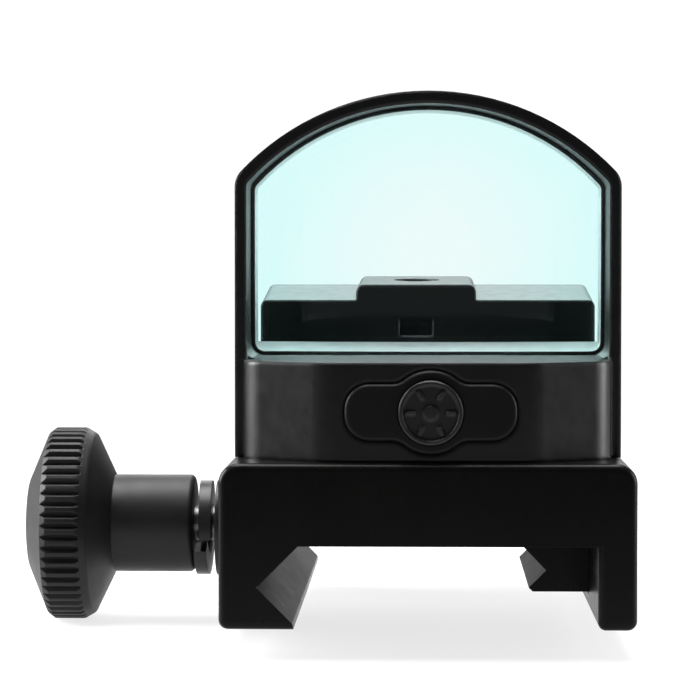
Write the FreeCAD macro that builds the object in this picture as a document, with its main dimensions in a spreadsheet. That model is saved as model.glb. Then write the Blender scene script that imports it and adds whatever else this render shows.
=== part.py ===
"""A mini reflex (red dot) sight on its one-screw accessory-rail clamp, in millimetres.

Frame: the origin is the centre of the rail seat, on the clamp screw's plane. +Z is up,
+Y runs along the rail from the target end to the eye end, and +X is to the right for
someone facing the target end.
"""
import FreeCAD, Part
import math
import os
from types import SimpleNamespace

import Sketcher
from FreeCAD import Placement, Rotation, Vector

DIMENSIONS = (
    # rail clamp
    ("mount_half_width", 13.1, "half width of the clamp block"),
    ("mount_half_length", 19.0, "half length of the clamp block"),
    ("mount_bottom", -5.25, "underside of the two legs"),
    ("mount_top", 5.2, "face that carries the housing"),
    ("mount_top_round", 1.3, "rounding of the block's top edges"),
    ("mount_bottom_round", 0.6, "rounding of the legs' outer edges"),
    ("mount_corner_round", 0.5, "rounding of the block's upright edges"),
    ("leg_foot_round", 0.5, "rounding inside the right leg's foot"),
    ("vee_seat_x", -8.1, "where the fixed vee leaves the rail seat"),
    ("vee_depth", 2.6, "depth of the fixed vee, which has 45 degree flanks"),
    ("vee_lip", 2.3, "length across of the fixed vee's lower flank"),
    ("vee_lip_round", 0.3, "rounding of the fixed vee's tip"),
    ("leg_inner_x", 10.65, "inner wall of the right leg"),
    ("jaw_half_length", 9.0, "half length of the sliding jaw"),
    ("jaw_inner_x", 3.0, "inner end of the jaw"),
    ("jaw_outer_x", 12.95, "outer end of the jaw"),
    ("jaw_top", 2.75, "top of the jaw"),
    ("jaw_bottom", -4.03, "underside of the jaw"),
    ("jaw_vee_x", 7.85, "deepest point of the jaw's vee"),
    ("jaw_vee_z", -2.63, "height of the jaw's vee"),
    ("jaw_lip_x", 6.7, "tip of the jaw's lip"),
    ("jaw_lip_chamfer", 0.25, "chamfer under the jaw's lip"),
    ("jaw_round", 0.4, "rounding of the jaw's outer edges"),
    ("jaw_gap", 0.15, "clearance round the jaw"),
    ("jaw_seat_gap", 0.05, "how far the jaw stays above the rail seat"),
    # clamp screw
    ("screw_z", -0.45, "height of the clamp screw's axis"),
    ("stud_radius", 1.5, "M3 thread of the clamp screw"),
    ("stud_neck_radius", 1.2, "neck of the clamp screw under the washers"),
    ("stud_end_x", 11.5, "tip of the clamp screw"),
    ("stud_chamfer", 0.5, "length of the chamfers at the ends of the thread"),
    ("neck_end_x", -11.0, "where the neck meets the thread"),
    ("bore_gap", 0.1, "radial clearance of screws in plain holes"),
    ("thread_gap", 0.05, "radial clearance drawn at threads"),
    ("boss_radius", 3.4, "raised ring round the clamp screw"),
    ("boss_face_x", -13.75, "outer face of the raised ring"),
    ("knob_face_x", -27.56, "outer face of the thumb knob"),
    ("knob_face_radius", 3.24, "flat part of the knob's face"),
    ("knob_cone_depth", 1.36, "depth of the cone behind the knob's face"),
    ("knob_cone_drop", 0.29, "how far the cone's edge is inside the crown"),
    ("knob_crown_radius", 6.65, "largest radius of the knob"),
    ("crown_start", 1.76, "where the crown starts, behind the face"),
    ("crown_end", 3.76, "where the crown ends"),
    ("knob_shoulder", 4.46, "where the knob's rear cone starts"),
    ("knob_shoulder_drop", 0.4, "how far that edge is inside the crown"),
    ("shank_start", 5.86, "where the knob's shank starts"),
    ("knob_shank_radius", 3.375, "radius of the knob's shank"),
    ("knob_end_x", -16.15, "inner end of the knob's shank"),
    ("knob_bore_depth", 4.0, "depth of the knob's bore for the clamp screw"),
    ("knob_round", 0.35, "rounding of the knob's rear edges"),
    ("knurl_depth", 0.3, "depth of the grooves round the knob"),
    ("knurl_length", 2.75, "length of those grooves"),
    ("knurl_end", 4.0, "where those grooves end, behind the face"),
    ("coin_slot_width", 1.2, "width of the slot across the knob"),
    ("coin_slot_depth", 1.3, "depth of the slot across the knob"),
    ("lock_washer_radius", 3.27, "outer radius of the split washer"),
    ("lock_washer_hole", 1.75, "inner radius of both washers"),
    ("lock_washer_thick", 0.85, "thickness of the split washer's wire"),
    ("lock_washer_rise", 0.4, "how far its ends stand apart along the screw"),
    ("washer_drop", 0.3, "how far the washers hang below the screw's axis"),
    ("flat_washer_radius", 3.3, "outer radius of the flat washer"),
    ("flat_washer_thick", 0.8, "thickness of the flat washer"),
    ("washer_gap", 0.05, "play beside each washer"),
    # housing
    ("half_width", 12.4, "half width of the housing"),
    ("hood_front", -13.7, "front rim of the hood"),
    ("hood_rear", 3.0, "rear foot of the hood"),
    ("hood_rear_top", -0.6, "rear edge of the hood at its crown"),
    ("hood_top", 28.72, "crown of the hood"),
    ("hood_radius", 16.6, "radius of the hood's arch"),
    ("hood_shoulder", 1.5, "rounding where the arch meets the sides"),
    ("hood_side_wall", 0.45, "thickness of the hood's sides"),
    ("hood_crown_wall", 0.5, "thickness of the hood's arch"),
    ("lip_step", 0.3, "how far the hood's front lip stands in from its tunnel"),
    ("lip_depth", 0.8, "depth of that lip"),
    ("deck", 11.45, "top of the low part of the housing"),
    ("nose_front", -18.2, "front face of the nose"),
    ("nose_half_width", 11.75, "half width of the nose"),
    ("nose_flat", 6.63, "half width of the nose's front face"),
    ("nose_corner", -15.12, "where the nose's slanted faces meet its sides"),
    ("nose_round", 2.2, "rounding of the nose's outer corners"),
    ("nose_edge_round", 2.5, "rounding between the nose's front and slanted faces"),
    ("block_front", 15.0, "front wall of the emitter block"),
    ("rear", 26.0, "rear face of the housing"),
    ("block_top", 14.9, "top of the emitter block at its front"),
    ("block_rear_top", 16.1, "top of the emitter block at its rear"),
    ("block_round", 0.5, "rounding of the emitter block's side edges"),
    ("rear_round", 1.2, "rounding of the housing's rear corners"),
    ("hump_left", -5.3, "left side of the raised boss"),
    ("hump_right", 3.6, "right side of the raised boss"),
    ("hump_top", 16.05, "top of the raised boss at its front"),
    ("hump_rear_top", 16.6, "top of the raised boss at its rear"),
    ("hump_round", 0.6, "rounding of the raised boss's top edges"),
    # lens
    ("lens_half_width", 11.7, "half width of the lens"),
    ("lens_bottom", 11.7, "lower edge of the lens"),
    ("lens_corner", 0.65, "rounding of the lens's corners"),
    ("lens_centre_z", 19.5, "height of the lens's optical axis"),
    ("lens_front", -5.6, "pole of the lens's front surface"),
    ("lens_rear_limit", 1.5, "a plane behind the whole lens"),
    ("lens_thick", 2.2, "thickness of the lens"),
    ("lens_front_radius", 59.0, "radius of the front surface"),
    ("lens_rear_radius", 57.5, "radius of the rear surface"),
    ("bond_front", -4.3, "front of the bead that holds the lens"),
    ("bond_rear", -2.2, "rear of that bead"),
    ("bond_gap", 0.01, "play drawn on both sides of that bead"),
    # button
    ("button_x", 0.2, "centre of the button"),
    ("button_z", 8.35, "height of the button's centre"),
    ("button_radius", 2.035, "radius of the button"),
    ("button_front", -18.95, "front of the button's rim"),
    ("button_back", -18.05, "back of the button's disc"),
    ("cap_rim_width", 0.3, "width of the button's raised rim"),
    ("cap_rim_round", 0.12, "rounding of that rim"),
    ("cap_dish", 0.25, "depth of the dish inside that rim"),
    ("cap_symbol", 0.18, "height of the dot and rays in the dish"),
    ("cap_dot_radius", 0.47, "radius of the dot"),
    ("ray_start", 0.97, "inner end of each ray"),
    ("ray_end", 1.62, "outer end of each ray"),
    ("ray_half_width", 0.11, "half width of each ray"),
    ("stem_radius", 0.95, "radius of the button's stem"),
    ("stem_gap", 0.02, "gap between the stem and the switch"),
    ("button_hole", 1.0, "radius of the stem's hole"),
    ("pad_front", -18.55, "front of the button's rubber surround"),
    ("pad_floor", -17.6, "floor of the recess for the surround"),
    ("pad_half_height", 1.78, "half height of the surround's wings"),
    ("pad_half_length", 5.4, "half length of the surround"),
    ("pad_bulge_radius", 2.64, "radius of the surround round the button"),
    ("pad_tip_flat", 0.2, "half height of the flat at the wings' tips"),
    ("pad_waist_round", 1.3, "rounding where the wings meet the middle"),
    ("pad_rim_round", 0.25, "rounding of the surround's front edge"),
    ("switch_half_width", 2.6, "half width of the switch"),
    ("switch_front", -16.25, "front of the switch's case"),
    ("switch_length", 2.4, "length of the switch's case"),
    ("switch_bottom", 7.1, "underside of the switch's case"),
    ("plunger_radius", 0.8, "radius of the switch's plunger"),
    ("plunger_depth", 0.6, "how far the plunger reaches into the case"),
    ("socket_depth", 1.1, "depth of the plunger's socket"),
    # electronics bay
    ("bay_y", -1.0, "centre of the round bay"),
    ("bay_radius", 10.6, "radius of the round bay"),
    ("bay_roof", 10.6, "roof of the bay"),
    ("bay_front", -16.75, "front wall of the bay in the nose"),
    ("bay_nose_half_width", 3.4, "half width of the bay in the nose"),
    ("battery_radius", 10.0, "radius of the coin cell"),
    ("battery_cap_radius", 8.9, "radius of the coin cell's cap"),
    ("battery_bottom", 5.5, "underside of the coin cell"),
    ("battery_step", 8.4, "rim of the coin cell's can"),
    ("battery_top", 8.7, "top of the coin cell"),
    ("insulator_radius", 9.6, "radius of the disc under the coin cell"),
    ("contact_reach", 2.5, "half length of the centre contact"),
    ("contact_width", 2.0, "width of the contacts"),
    ("contact_thick", 0.2, "thickness of the contacts"),
    ("side_contact_bottom", 6.0, "lower end of the side contact"),
    ("board_radius", 10.3, "radius of the circuit board"),
    ("board_tab", 3.0, "half width of the board's tab over the switch"),
    ("board_bottom", 9.6, "underside of the circuit board"),
    ("board_top", 10.4, "top of the circuit board"),
    ("chip_height", 0.75, "height of the chips"),
    ("gasket_inner", 11.0, "inner radius of the gasket's groove"),
    ("gasket_outer", 11.5, "outer radius of the gasket's groove"),
    ("gasket_nose_inner", 3.9, "inner half width of the groove in the nose"),
    ("gasket_nose_outer", 4.4, "outer half width of the groove in the nose"),
    ("gasket_front_inner", -17.05, "inner front wall of the groove"),
    ("gasket_front_outer", -17.55, "outer front wall of the groove"),
    ("gasket_top", 5.75, "top of the gasket's groove"),
    ("slight_gap", 0.02, "play of the gasket, the contacts and the window"),
    # emitter and its adjusters
    ("emitter_x", -0.85, "centre of the emitter, from side to side"),
    ("emitter_z", 12.85, "height of the emitter"),
    ("cavity_half_width", 4.55, "half width of the emitter cavity"),
    ("cavity_front", 16.4, "front wall of the emitter cavity"),
    ("cavity_rear", 24.4, "rear wall of the emitter cavity"),
    ("cavity_roof", 13.9, "roof of the emitter cavity"),
    ("window_half_width", 1.2, "half width of the emitter window's recess"),
    ("window_half_height", 0.6, "half height of that recess"),
    ("window_depth", 0.5, "depth of that recess"),
    ("window_rim", 0.4, "width of the ledge behind the window"),
    ("cover_margin", 2.15, "how far the cavity's cover reaches past it"),
    ("cover_front", 15.9, "front of the cover's recess"),
    ("cover_rear", 25.0, "rear of the cover's recess"),
    ("cover_top", 6.1, "top of the plate that closes the cavity"),
    ("cover_bottom", 5.25, "underside of that plate"),
    ("cover_screw_x", 5.65, "side offset of the cover's screws"),
    ("cover_screw_radius", 0.5, "shank of the cover's screws"),
    ("cover_screw_head", 0.93, "head radius of the cover's screws"),
    ("cover_screw_top", 8.0, "end of the cover's screws"),
    ("cover_drive_half_width", 0.12, "half width of the slot in those heads"),
    ("cover_drive_reach", 0.6, "half length of the slot in those heads"),
    ("adjust_y", 20.9, "plane of the two adjusting screws"),
    ("windage_z", 9.6, "height of the windage screw"),
    ("adjuster_radius", 0.8, "radius of the adjusting screws"),
    ("drive_half_width", 0.2, "half width of the slots in their heads"),
    ("drive_depth", 0.45, "depth of the slots in their heads"),
    ("running_gap", 0.06, "radial clearance of turning parts"),
    ("fit_gap", 0.05, "clearance of fixed parts in their seats"),
    ("windage_recess", 1.7, "radius of the opening for the windage screw's head"),
    ("windage_recess_x", 10.9, "floor of that opening"),
    ("windage_head", 1.5, "radius of the windage screw's head"),
    ("windage_head_x", 11.0, "inner face of that head"),
    ("windage_end_x", 12.2, "outer face of that head"),
    ("windage_tip_x", 1.7, "tip of the windage screw"),
    ("clip_radius", 1.6, "outer radius of the windage screw's clip"),
    ("clip_x", 3.5, "place of that clip"),
    ("clip_thick", 0.28, "thickness of that clip"),
    ("carriage_half_width", 3.75, "half width of the windage carriage"),
    ("carriage_front", 17.9, "front of the windage carriage"),
    ("carriage_rear", 23.9, "rear of the windage carriage"),
    ("carriage_bottom", 6.5, "underside of the windage carriage"),
    ("carriage_top", 13.5, "top of the windage carriage"),
    ("slot_bottom", 7.5, "floor of the carrier's slot"),
    ("slot_top", 12.2, "roof of the carrier's slot"),
    ("slot_rear", 22.9, "rear wall of the carrier's slot"),
    ("post_rear", 19.0, "rear of the carrier's post"),
    ("windage_spring_x", -5.2, "fixed end of the windage spring"),
    ("windage_spring_length", 1.75, "length of the windage spring"),
    ("windage_spring_radius", 0.95, "mean radius of the windage spring"),
    ("spring_pocket_radius", 1.3, "radius of the pocket for that spring"),
    ("spring_pocket_x", -3.3, "floor of that pocket"),
    ("spring_wire", 0.13, "corner radius of the springs' wire"),
    ("elevation_opening", 1.75, "radius of the opening over the elevation screw"),
    ("elevation_head", 1.3, "radius of the elevation screw's head"),
    ("elevation_head_bottom", 15.0, "underside of that head"),
    ("elevation_head_top", 15.85, "top of that head"),
    ("elevation_flange", 1.2, "radius of the elevation screw's flange"),
    ("elevation_flange_bottom", 13.55, "underside of that flange"),
    ("elevation_flange_top", 13.8, "top of that flange"),
    ("elevation_tip", 7.9, "tip of the elevation screw"),
    ("carrier_half_width", 1.8, "half width of the emitter carrier"),
    ("carrier_gap", 0.1, "play of the carrier in its slot"),
    ("carrier_front", 18.0, "front of the emitter carrier"),
    ("carrier_rear", 22.5, "rear of the emitter carrier"),
    ("carrier_bottom", 8.6, "underside of the emitter carrier"),
    ("carrier_top", 11.2, "top of the emitter carrier"),
    ("carrier_post_top", 13.3, "top of the carrier's post"),
    ("counterbore_radius", 1.5, "pocket for the elevation spring"),
    ("counterbore_floor", 9.7, "floor of that pocket"),
    ("elevation_spring_z", 9.85, "lower end of the elevation spring"),
    ("elevation_spring_length", 2.2, "length of the elevation spring"),
    ("elevation_spring_radius", 1.15, "mean radius of the elevation spring"),
    ("led_half_width", 0.5, "half width of the diode"),
    ("led_half_height", 0.35, "half height of the diode"),
    ("led_thick", 0.55, "thickness of the diode"),
    ("mask_half_width", 1.3, "half width of the diode's mask"),
    ("mask_thick", 0.25, "thickness of the mask"),
    ("mask_bottom", 12.35, "lower edge of the mask"),
    ("mask_top", 13.4, "upper edge of the mask"),
    ("mask_hole", 0.15, "radius of the mask's hole"),
    ("lead_half_width", 0.5, "half width of the emitter's ribbon lead"),
    ("lead_thick", 0.12, "thickness of that lead"),
    ("lead_start", 8.4, "where the lead leaves the circuit board"),
    ("lead_fold", 16.9, "where the lead turns upwards"),
    ("lead_end", 17.98, "where the lead meets the carrier's post"),
    ("lead_top", 12.25, "top of the lead"),
    ("lead_slot_half_width", 0.8, "half width of the lead's slot"),
    ("lead_slot_front", 7.0, "front end of the lead's slot"),
    ("lead_slot_bottom", 9.2, "floor of the lead's slot"),
    ("lead_slot_top", 9.9, "roof of the lead's slot"),
    # fasteners
    ("body_screw_x", 8.8, "side offset of the two housing screws"),
    ("body_screw_y", 12.5, "position of the two housing screws"),
    ("body_screw_radius", 1.1, "shank of the housing screws"),
    ("body_screw_head", 1.9, "head radius of the housing screws"),
    ("head_gap", 0.15, "radial clearance of their heads"),
    ("body_screw_seat", 9.6, "seat of their heads"),
    ("body_screw_top", 11.2, "top of their heads"),
    ("body_screw_tip", 1.6, "tip of the housing screws"),
    ("body_screw_tap", 1.2, "bottom of their tapped holes"),
    ("hex_radius", 0.9, "corner radius of the sockets in their heads"),
    ("hex_floor", 10.2, "floor of those sockets"),
    ("pin_x", 9.9, "side offset of the locating pins"),
    ("pin_front_y", -11.9, "position of the front locating pins"),
    ("pin_rear_y", 8.6, "position of the rear locating pins"),
    ("pin_radius", 0.8, "radius of the locating pins"),
    ("pin_bottom", 3.45, "lower end of the locating pins"),
    ("pin_top", 6.8, "upper end of the locating pins"),
)
KNURL_COUNT = 54
KNURL_SHARE = 0.78
RAY_COUNT = 6
COIN_SLOT_ANGLE = 8
SPLIT_ANGLE = -65
SPLIT_TURN = 0.96
SPRING_TURNS = 2.5
WIRE_SIDES = 8
OVERCUT = 1.0
OVERLAP = 0.5
TURNED = {
    "x": Rotation(Vector(0, 0, 1), Vector(1, 0, 0)),
    "y": Rotation(Vector(0, 0, 1), Vector(0, 1, 0)),
    "z": Rotation(),
}

doc = FreeCAD.newDocument("ReflexSight")
nodes = []


class Size:
    """A dimension: its value in millimetres and the sheet expression that gives it."""

    def __init__(self, value, text):
        self.value = value
        self.text = text

    def __add__(self, other):
        other = size_of(other)
        return Size(self.value + other.value, f"({self.text} + {other.text})")

    def __sub__(self, other):
        other = size_of(other)
        return Size(self.value - other.value, f"({self.text} - {other.text})")

    def __rsub__(self, other):
        return size_of(other) - self

    def __neg__(self):
        return Size(-self.value, f"(-1 * {self.text})")

    def __mul__(self, factor):
        return Size(self.value * factor, f"({self.text} * {factor})")

    __radd__ = __add__
    __rmul__ = __mul__


def size_of(value):
    """The value as a Size, whether it is one already or a plain number."""
    if isinstance(value, Size):
        return value
    return Size(value, f"({value})")


def make_sheet():
    """Fill the spreadsheet and give each alias back as a Size."""
    sheet = doc.addObject("Spreadsheet::Sheet", "Dimensions")
    sizes = {}
    for row, (alias, value, note) in enumerate(DIMENSIONS, 1):
        sheet.set(f"A{row}", note)
        sheet.set(f"B{row}", str(value))
        sheet.setAlias(f"B{row}", alias)
        sizes[alias] = Size(value, f"Dimensions.{alias}")
    doc.recompute()
    return SimpleNamespace(**sizes)


d = make_sheet()


# ---- solids from primitives ----------------------------------------------------------


def bind(thing, path, value):
    """Tie a property of the object to the sheet."""
    thing.setExpression(path, size_of(value).text)


def box(name, x, y, z):
    """A block between the low and high value given for each axis."""
    block = doc.addObject("Part::Box", name)
    for path, (low, high) in zip(("Length", "Width", "Height"), (x, y, z)):
        bind(block, path, size_of(high) - low)
    for axis, (low, _) in zip("xyz", (x, y, z)):
        bind(block, f"Placement.Base.{axis}", low)
    return block


def round_bar(name, axis, across, radius, low, high, end_radius=None):
    """A cylinder, or a cone, along an axis; across is its centre in the other two axes."""
    bar = doc.addObject("Part::Cone" if end_radius else "Part::Cylinder", name)
    bar.Placement = Placement(Vector(), TURNED[axis])
    bind(bar, "Height", size_of(high) - low)
    if end_radius:
        bind(bar, "Radius1", radius)
        bind(bar, "Radius2", end_radius)
    else:
        bind(bar, "Radius", radius)
    bind(bar, f"Placement.Base.{axis}", low)
    for other, centre in zip("xyz".replace(axis, ""), across):
        bind(bar, f"Placement.Base.{other}", centre)
    return bar


def ball(name, y, z, radius):
    """A sphere on the centre plane."""
    sphere = doc.addObject("Part::Sphere", name)
    bind(sphere, "Radius", radius)
    bind(sphere, "Placement.Base.y", y)
    bind(sphere, "Placement.Base.z", z)
    return sphere


def fuse(name, *parts):
    """One shape from several."""
    joined = doc.addObject("Part::MultiFuse", name)
    joined.Shapes = list(parts)
    joined.Refine = True
    return joined


def cut(name, base, *tools):
    """The base without the tools."""
    result = doc.addObject("Part::Cut", name)
    result.Base = base
    result.Tool = tools[0] if len(tools) == 1 else fuse(f"{name}_tools", *tools)
    result.Refine = True
    return result


def common(name, first, second):
    """What two shapes share."""
    shared = doc.addObject("Part::Common", name)
    shared.Base = first
    shared.Tool = second
    return shared


def ring(name, axis, across, outer, inner, low, high):
    """A flat ring or tube."""
    return cut(
        name,
        round_bar(f"{name}_outside", axis, across, outer, low, high),
        round_bar(f"{name}_hole", axis, across, inner, size_of(low) - OVERCUT, size_of(high) + OVERCUT),
    )


def around(centre, half_width):
    """The low and high value of a span about a centre."""
    return size_of(centre) - half_width, size_of(centre) + half_width


def node(part, label=None):
    """Name a finished sub-part and keep it for export."""
    part.Label = label or part.Name
    nodes.append(part)
    return part


# ---- solids from sketches ------------------------------------------------------------


def new_body(name):
    return doc.addObject("PartDesign::Body", name)


def new_sketch(body, name, role, offset, shift_up=0):
    """A sketch on one of the body's origin planes, moved along and up the plane."""
    sketch = body.newObject("Sketcher::SketchObject", name)
    plane = next(each for each in body.Origin.OriginFeatures if each.Role == role)
    sketch.AttachmentSupport = (plane, [""])
    sketch.MapMode = "FlatFace"
    bind(sketch, "AttachmentOffset.Base.y", shift_up)
    bind(sketch, "AttachmentOffset.Base.z", offset)
    return sketch


def hold(sketch, line, end, point):
    """Fix a line's end by its two distances from the sketch's origin."""
    for kind, axis_line, place in (("DistanceX", -2, point[0]), ("DistanceY", -1, point[1])):
        if abs(place.value) < 1e-9:
            sketch.addConstraint(Sketcher.Constraint("PointOnObject", line, end, axis_line))
        elif place.value > 0:
            index = sketch.addConstraint(Sketcher.Constraint(kind, -1, 1, line, end, place.value))
            bind(sketch, f"Constraints[{index}]", place)
        else:
            index = sketch.addConstraint(Sketcher.Constraint(kind, line, end, -1, 1, -place.value))
            bind(sketch, f"Constraints[{index}]", -place)


def outline(sketch, points):
    """A closed outline of straight lines through the points."""
    points = [(size_of(across), size_of(up)) for across, up in points]
    corners = [Vector(across.value, up.value, 0) for across, up in points]
    count = len(points)
    for index in range(count):
        sketch.addGeometry(Part.LineSegment(corners[index], corners[(index + 1) % count]), False)
    for index in range(count):
        sketch.addConstraint(Sketcher.Constraint("Coincident", index, 2, (index + 1) % count, 1))
        hold(sketch, index, 1, points[index])


def circle(sketch, across, up, radius):
    """A circle held by its centre and radius."""
    across, up, radius = size_of(across), size_of(up), size_of(radius)
    curve = Part.Circle(Vector(across.value, up.value, 0), Vector(0, 0, 1), radius.value)
    index = sketch.addGeometry(curve, False)
    hold(sketch, index, 3, (across, up))
    radius_index = sketch.addConstraint(Sketcher.Constraint("Radius", index, radius.value))
    bind(sketch, f"Constraints[{radius_index}]", radius)


def arch(sketch, half_width, bottom, crown, radius):
    """A flat-bottomed outline with straight sides under one shallow arc."""
    half_width, bottom = size_of(half_width), size_of(bottom)
    centre = size_of(crown) - radius
    rise = math.sqrt(radius.value**2 - half_width.value**2)
    spring = centre.value + rise
    start = math.atan2(rise, half_width.value)
    right, left = half_width.value, -half_width.value
    circle_ = Part.Circle(Vector(0, centre.value, 0), Vector(0, 0, 1), radius.value)
    sketch.addGeometry(Part.LineSegment(Vector(right, bottom.value, 0), Vector(right, spring, 0)), False)
    sketch.addGeometry(Part.ArcOfCircle(circle_, start, math.pi - start), False)
    sketch.addGeometry(Part.LineSegment(Vector(left, spring, 0), Vector(left, bottom.value, 0)), False)
    sketch.addGeometry(Part.LineSegment(Vector(left, bottom.value, 0), Vector(right, bottom.value, 0)), False)
    for index in range(4):
        sketch.addConstraint(Sketcher.Constraint("Coincident", index, 2, (index + 1) % 4, 1))
    hold(sketch, 0, 1, (half_width, bottom))
    hold(sketch, 3, 1, (-half_width, bottom))
    sketch.addConstraint(Sketcher.Constraint("Vertical", 0))
    sketch.addConstraint(Sketcher.Constraint("Vertical", 2))
    hold(sketch, 1, 3, (Size(0, "0"), centre))
    index = sketch.addConstraint(Sketcher.Constraint("Radius", 1, radius.value))
    bind(sketch, f"Constraints[{index}]", radius)


def pad(body, sketch, length):
    """Extrude a sketch along its normal."""
    feature = body.newObject("PartDesign::Pad", f"{sketch.Name}_pad")
    feature.Profile = sketch
    bind(feature, "Length", length)
    sketch.Visibility = False
    return feature


def pocket(body, sketch, length):
    """Cut a sketch into the body against its normal, and make sure that it removes something."""
    before = body.Tip
    doc.recompute()
    volume = before.Shape.Volume
    feature = body.newObject("PartDesign::Pocket", f"{sketch.Name}_pocket")
    feature.Profile = sketch
    bind(feature, "Length", length)
    doc.recompute()
    if feature.Shape.Volume > volume - 1e-6:
        raise RuntimeError(f"{feature.Name} removes nothing")
    return feature


def pattern(body, feature, axis_sketch, axis_name, count):
    """Repeat a feature round an axis of a sketch."""
    repeat = body.newObject("PartDesign::PolarPattern", f"{feature.Name}_pattern")
    repeat.Originals = [feature]
    repeat.Axis = (axis_sketch, [axis_name])
    repeat.Angle = 360
    repeat.Occurrences = count
    body.Tip = repeat
    return repeat


def runs_along(edge, axis):
    """Whether a straight edge runs along the axis."""
    if len(edge.Vertexes) != 2 or not isinstance(edge.Curve, Part.Line):
        return False
    run = edge.Vertexes[1].Point - edge.Vertexes[0].Point
    return abs(getattr(run, axis)) > 0.999 * run.Length


def lies_at(edge, **places):
    """Whether the edge's middle is at the given places; x is taken without its sign."""
    middle = edge.CenterOfMass
    for axis, place in places.items():
        value = abs(middle.x) if axis == "x" else getattr(middle, axis)
        if abs(value - size_of(place).value) > 0.02:
            return False
    return True


def round_off(body, name, radius, test):
    """Fillet the edges that pass the test."""
    doc.recompute()
    base = body.Tip
    chosen = [f"Edge{index}" for index, edge in enumerate(base.Shape.Edges, 1) if test(edge)]
    if not chosen:
        raise RuntimeError(f"{name} finds no edge")
    fillet = body.newObject("PartDesign::Fillet", name)
    fillet.Base = (base, chosen)
    bind(fillet, "Radius", radius)
    return fillet


# ---- rail clamp ----------------------------------------------------------------------


def mount_form():
    """The clamp block: a channel with one fixed vee."""
    body = new_body("mount_form")
    vee_bottom_x = d.vee_seat_x - d.vee_depth
    lip_x = vee_bottom_x + d.vee_lip
    lip_z = -d.vee_depth - d.vee_lip
    profile = new_sketch(body, "mount_profile", "XZ_Plane", -d.mount_half_length)
    outline(profile, [
        (-d.mount_half_width, d.mount_bottom),
        (-d.mount_half_width, d.mount_top),
        (d.mount_half_width, d.mount_top),
        (d.mount_half_width, d.mount_bottom),
        (d.leg_inner_x, d.mount_bottom),
        (d.leg_inner_x, 0),
        (d.vee_seat_x, 0),
        (vee_bottom_x, -d.vee_depth),
        (lip_x, lip_z),
        (lip_x, d.mount_bottom),
    ])
    pad(body, profile, 2 * d.mount_half_length)
    round_off(body, "mount_top_edges", d.mount_top_round, lambda edge: (
        runs_along(edge, "y") and lies_at(edge, x=d.mount_half_width, z=d.mount_top)))
    round_off(body, "mount_foot_edges", d.mount_bottom_round, lambda edge: (
        runs_along(edge, "y") and lies_at(edge, x=d.mount_half_width, z=d.mount_bottom)))
    round_off(body, "leg_foot_edge", d.leg_foot_round, lambda edge: (
        runs_along(edge, "y") and lies_at(edge, x=d.leg_inner_x, z=d.mount_bottom)))
    round_off(body, "mount_lip_edge", d.vee_lip_round, lambda edge: (
        runs_along(edge, "y") and lies_at(edge, x=-lip_x, z=lip_z)))
    round_off(body, "mount_corner_edges", d.mount_corner_round, lambda edge: (
        runs_along(edge, "z") and lies_at(edge, x=d.mount_half_width)))
    return body


def make_mount_base():
    """The clamp block with a ring round its screw, the jaw's window and the fasteners' holes."""
    axis = (0, d.screw_z)
    jaw_pocket_top = d.jaw_top + d.jaw_gap
    jaw_pocket_y = around(0, d.jaw_half_length + d.jaw_gap)
    above = d.mount_top + OVERCUT
    blank = fuse(
        "mount_blank",
        mount_form(),
        round_bar("mount_boss", "x", axis, d.boss_radius, d.boss_face_x, OVERLAP - d.mount_half_width),
    )
    tools = [
        box("jaw_pocket", (d.jaw_inner_x - d.jaw_gap, d.leg_inner_x + d.jaw_gap), jaw_pocket_y,
            (-OVERCUT, jaw_pocket_top)),
        box("jaw_window", (d.leg_inner_x - d.jaw_gap, d.mount_half_width + OVERCUT), jaw_pocket_y,
            (d.jaw_bottom - d.jaw_gap, jaw_pocket_top)),
        round_bar("screw_bore", "x", axis, d.stud_radius + d.bore_gap,
                  d.boss_face_x - OVERCUT, d.jaw_inner_x),
    ]
    for side, sign in (("left", -1), ("right", 1)):
        tools.append(round_bar(f"tapped_hole_{side}", "z", (d.body_screw_x * sign, d.body_screw_y),
                               d.body_screw_radius, d.body_screw_tap, above))
        for end, y in (("front", d.pin_front_y), ("rear", d.pin_rear_y)):
            tools.append(round_bar(f"pin_hole_{end}_{side}", "z", (d.pin_x * sign, y),
                                   d.pin_radius, d.pin_bottom - d.fit_gap, above))
    node(cut("mount_base", blank, *tools))


def make_clamp_jaw():
    body = new_body("jaw_form")
    seat_x = d.jaw_vee_x + d.jaw_vee_z + d.jaw_seat_gap
    profile = new_sketch(body, "jaw_profile", "XZ_Plane", -d.jaw_half_length)
    outline(profile, [
        (d.jaw_inner_x, d.jaw_seat_gap),
        (d.jaw_inner_x, d.jaw_top),
        (d.jaw_outer_x, d.jaw_top),
        (d.jaw_outer_x, d.jaw_bottom),
        (d.jaw_lip_x + d.jaw_lip_chamfer, d.jaw_bottom),
        (d.jaw_lip_x, d.jaw_bottom + d.jaw_lip_chamfer),
        (d.jaw_vee_x, d.jaw_vee_z),
        (seat_x, d.jaw_seat_gap),
    ])
    pad(body, profile, 2 * d.jaw_half_length)
    round_off(body, "jaw_outer_edges", d.jaw_round, lambda edge: lies_at(edge, x=d.jaw_outer_x))
    thread = round_bar("jaw_thread", "x", (0, d.screw_z), d.stud_radius + d.thread_gap,
                       0, d.jaw_outer_x + OVERCUT)
    node(cut("clamp_jaw", body, thread))


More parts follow.
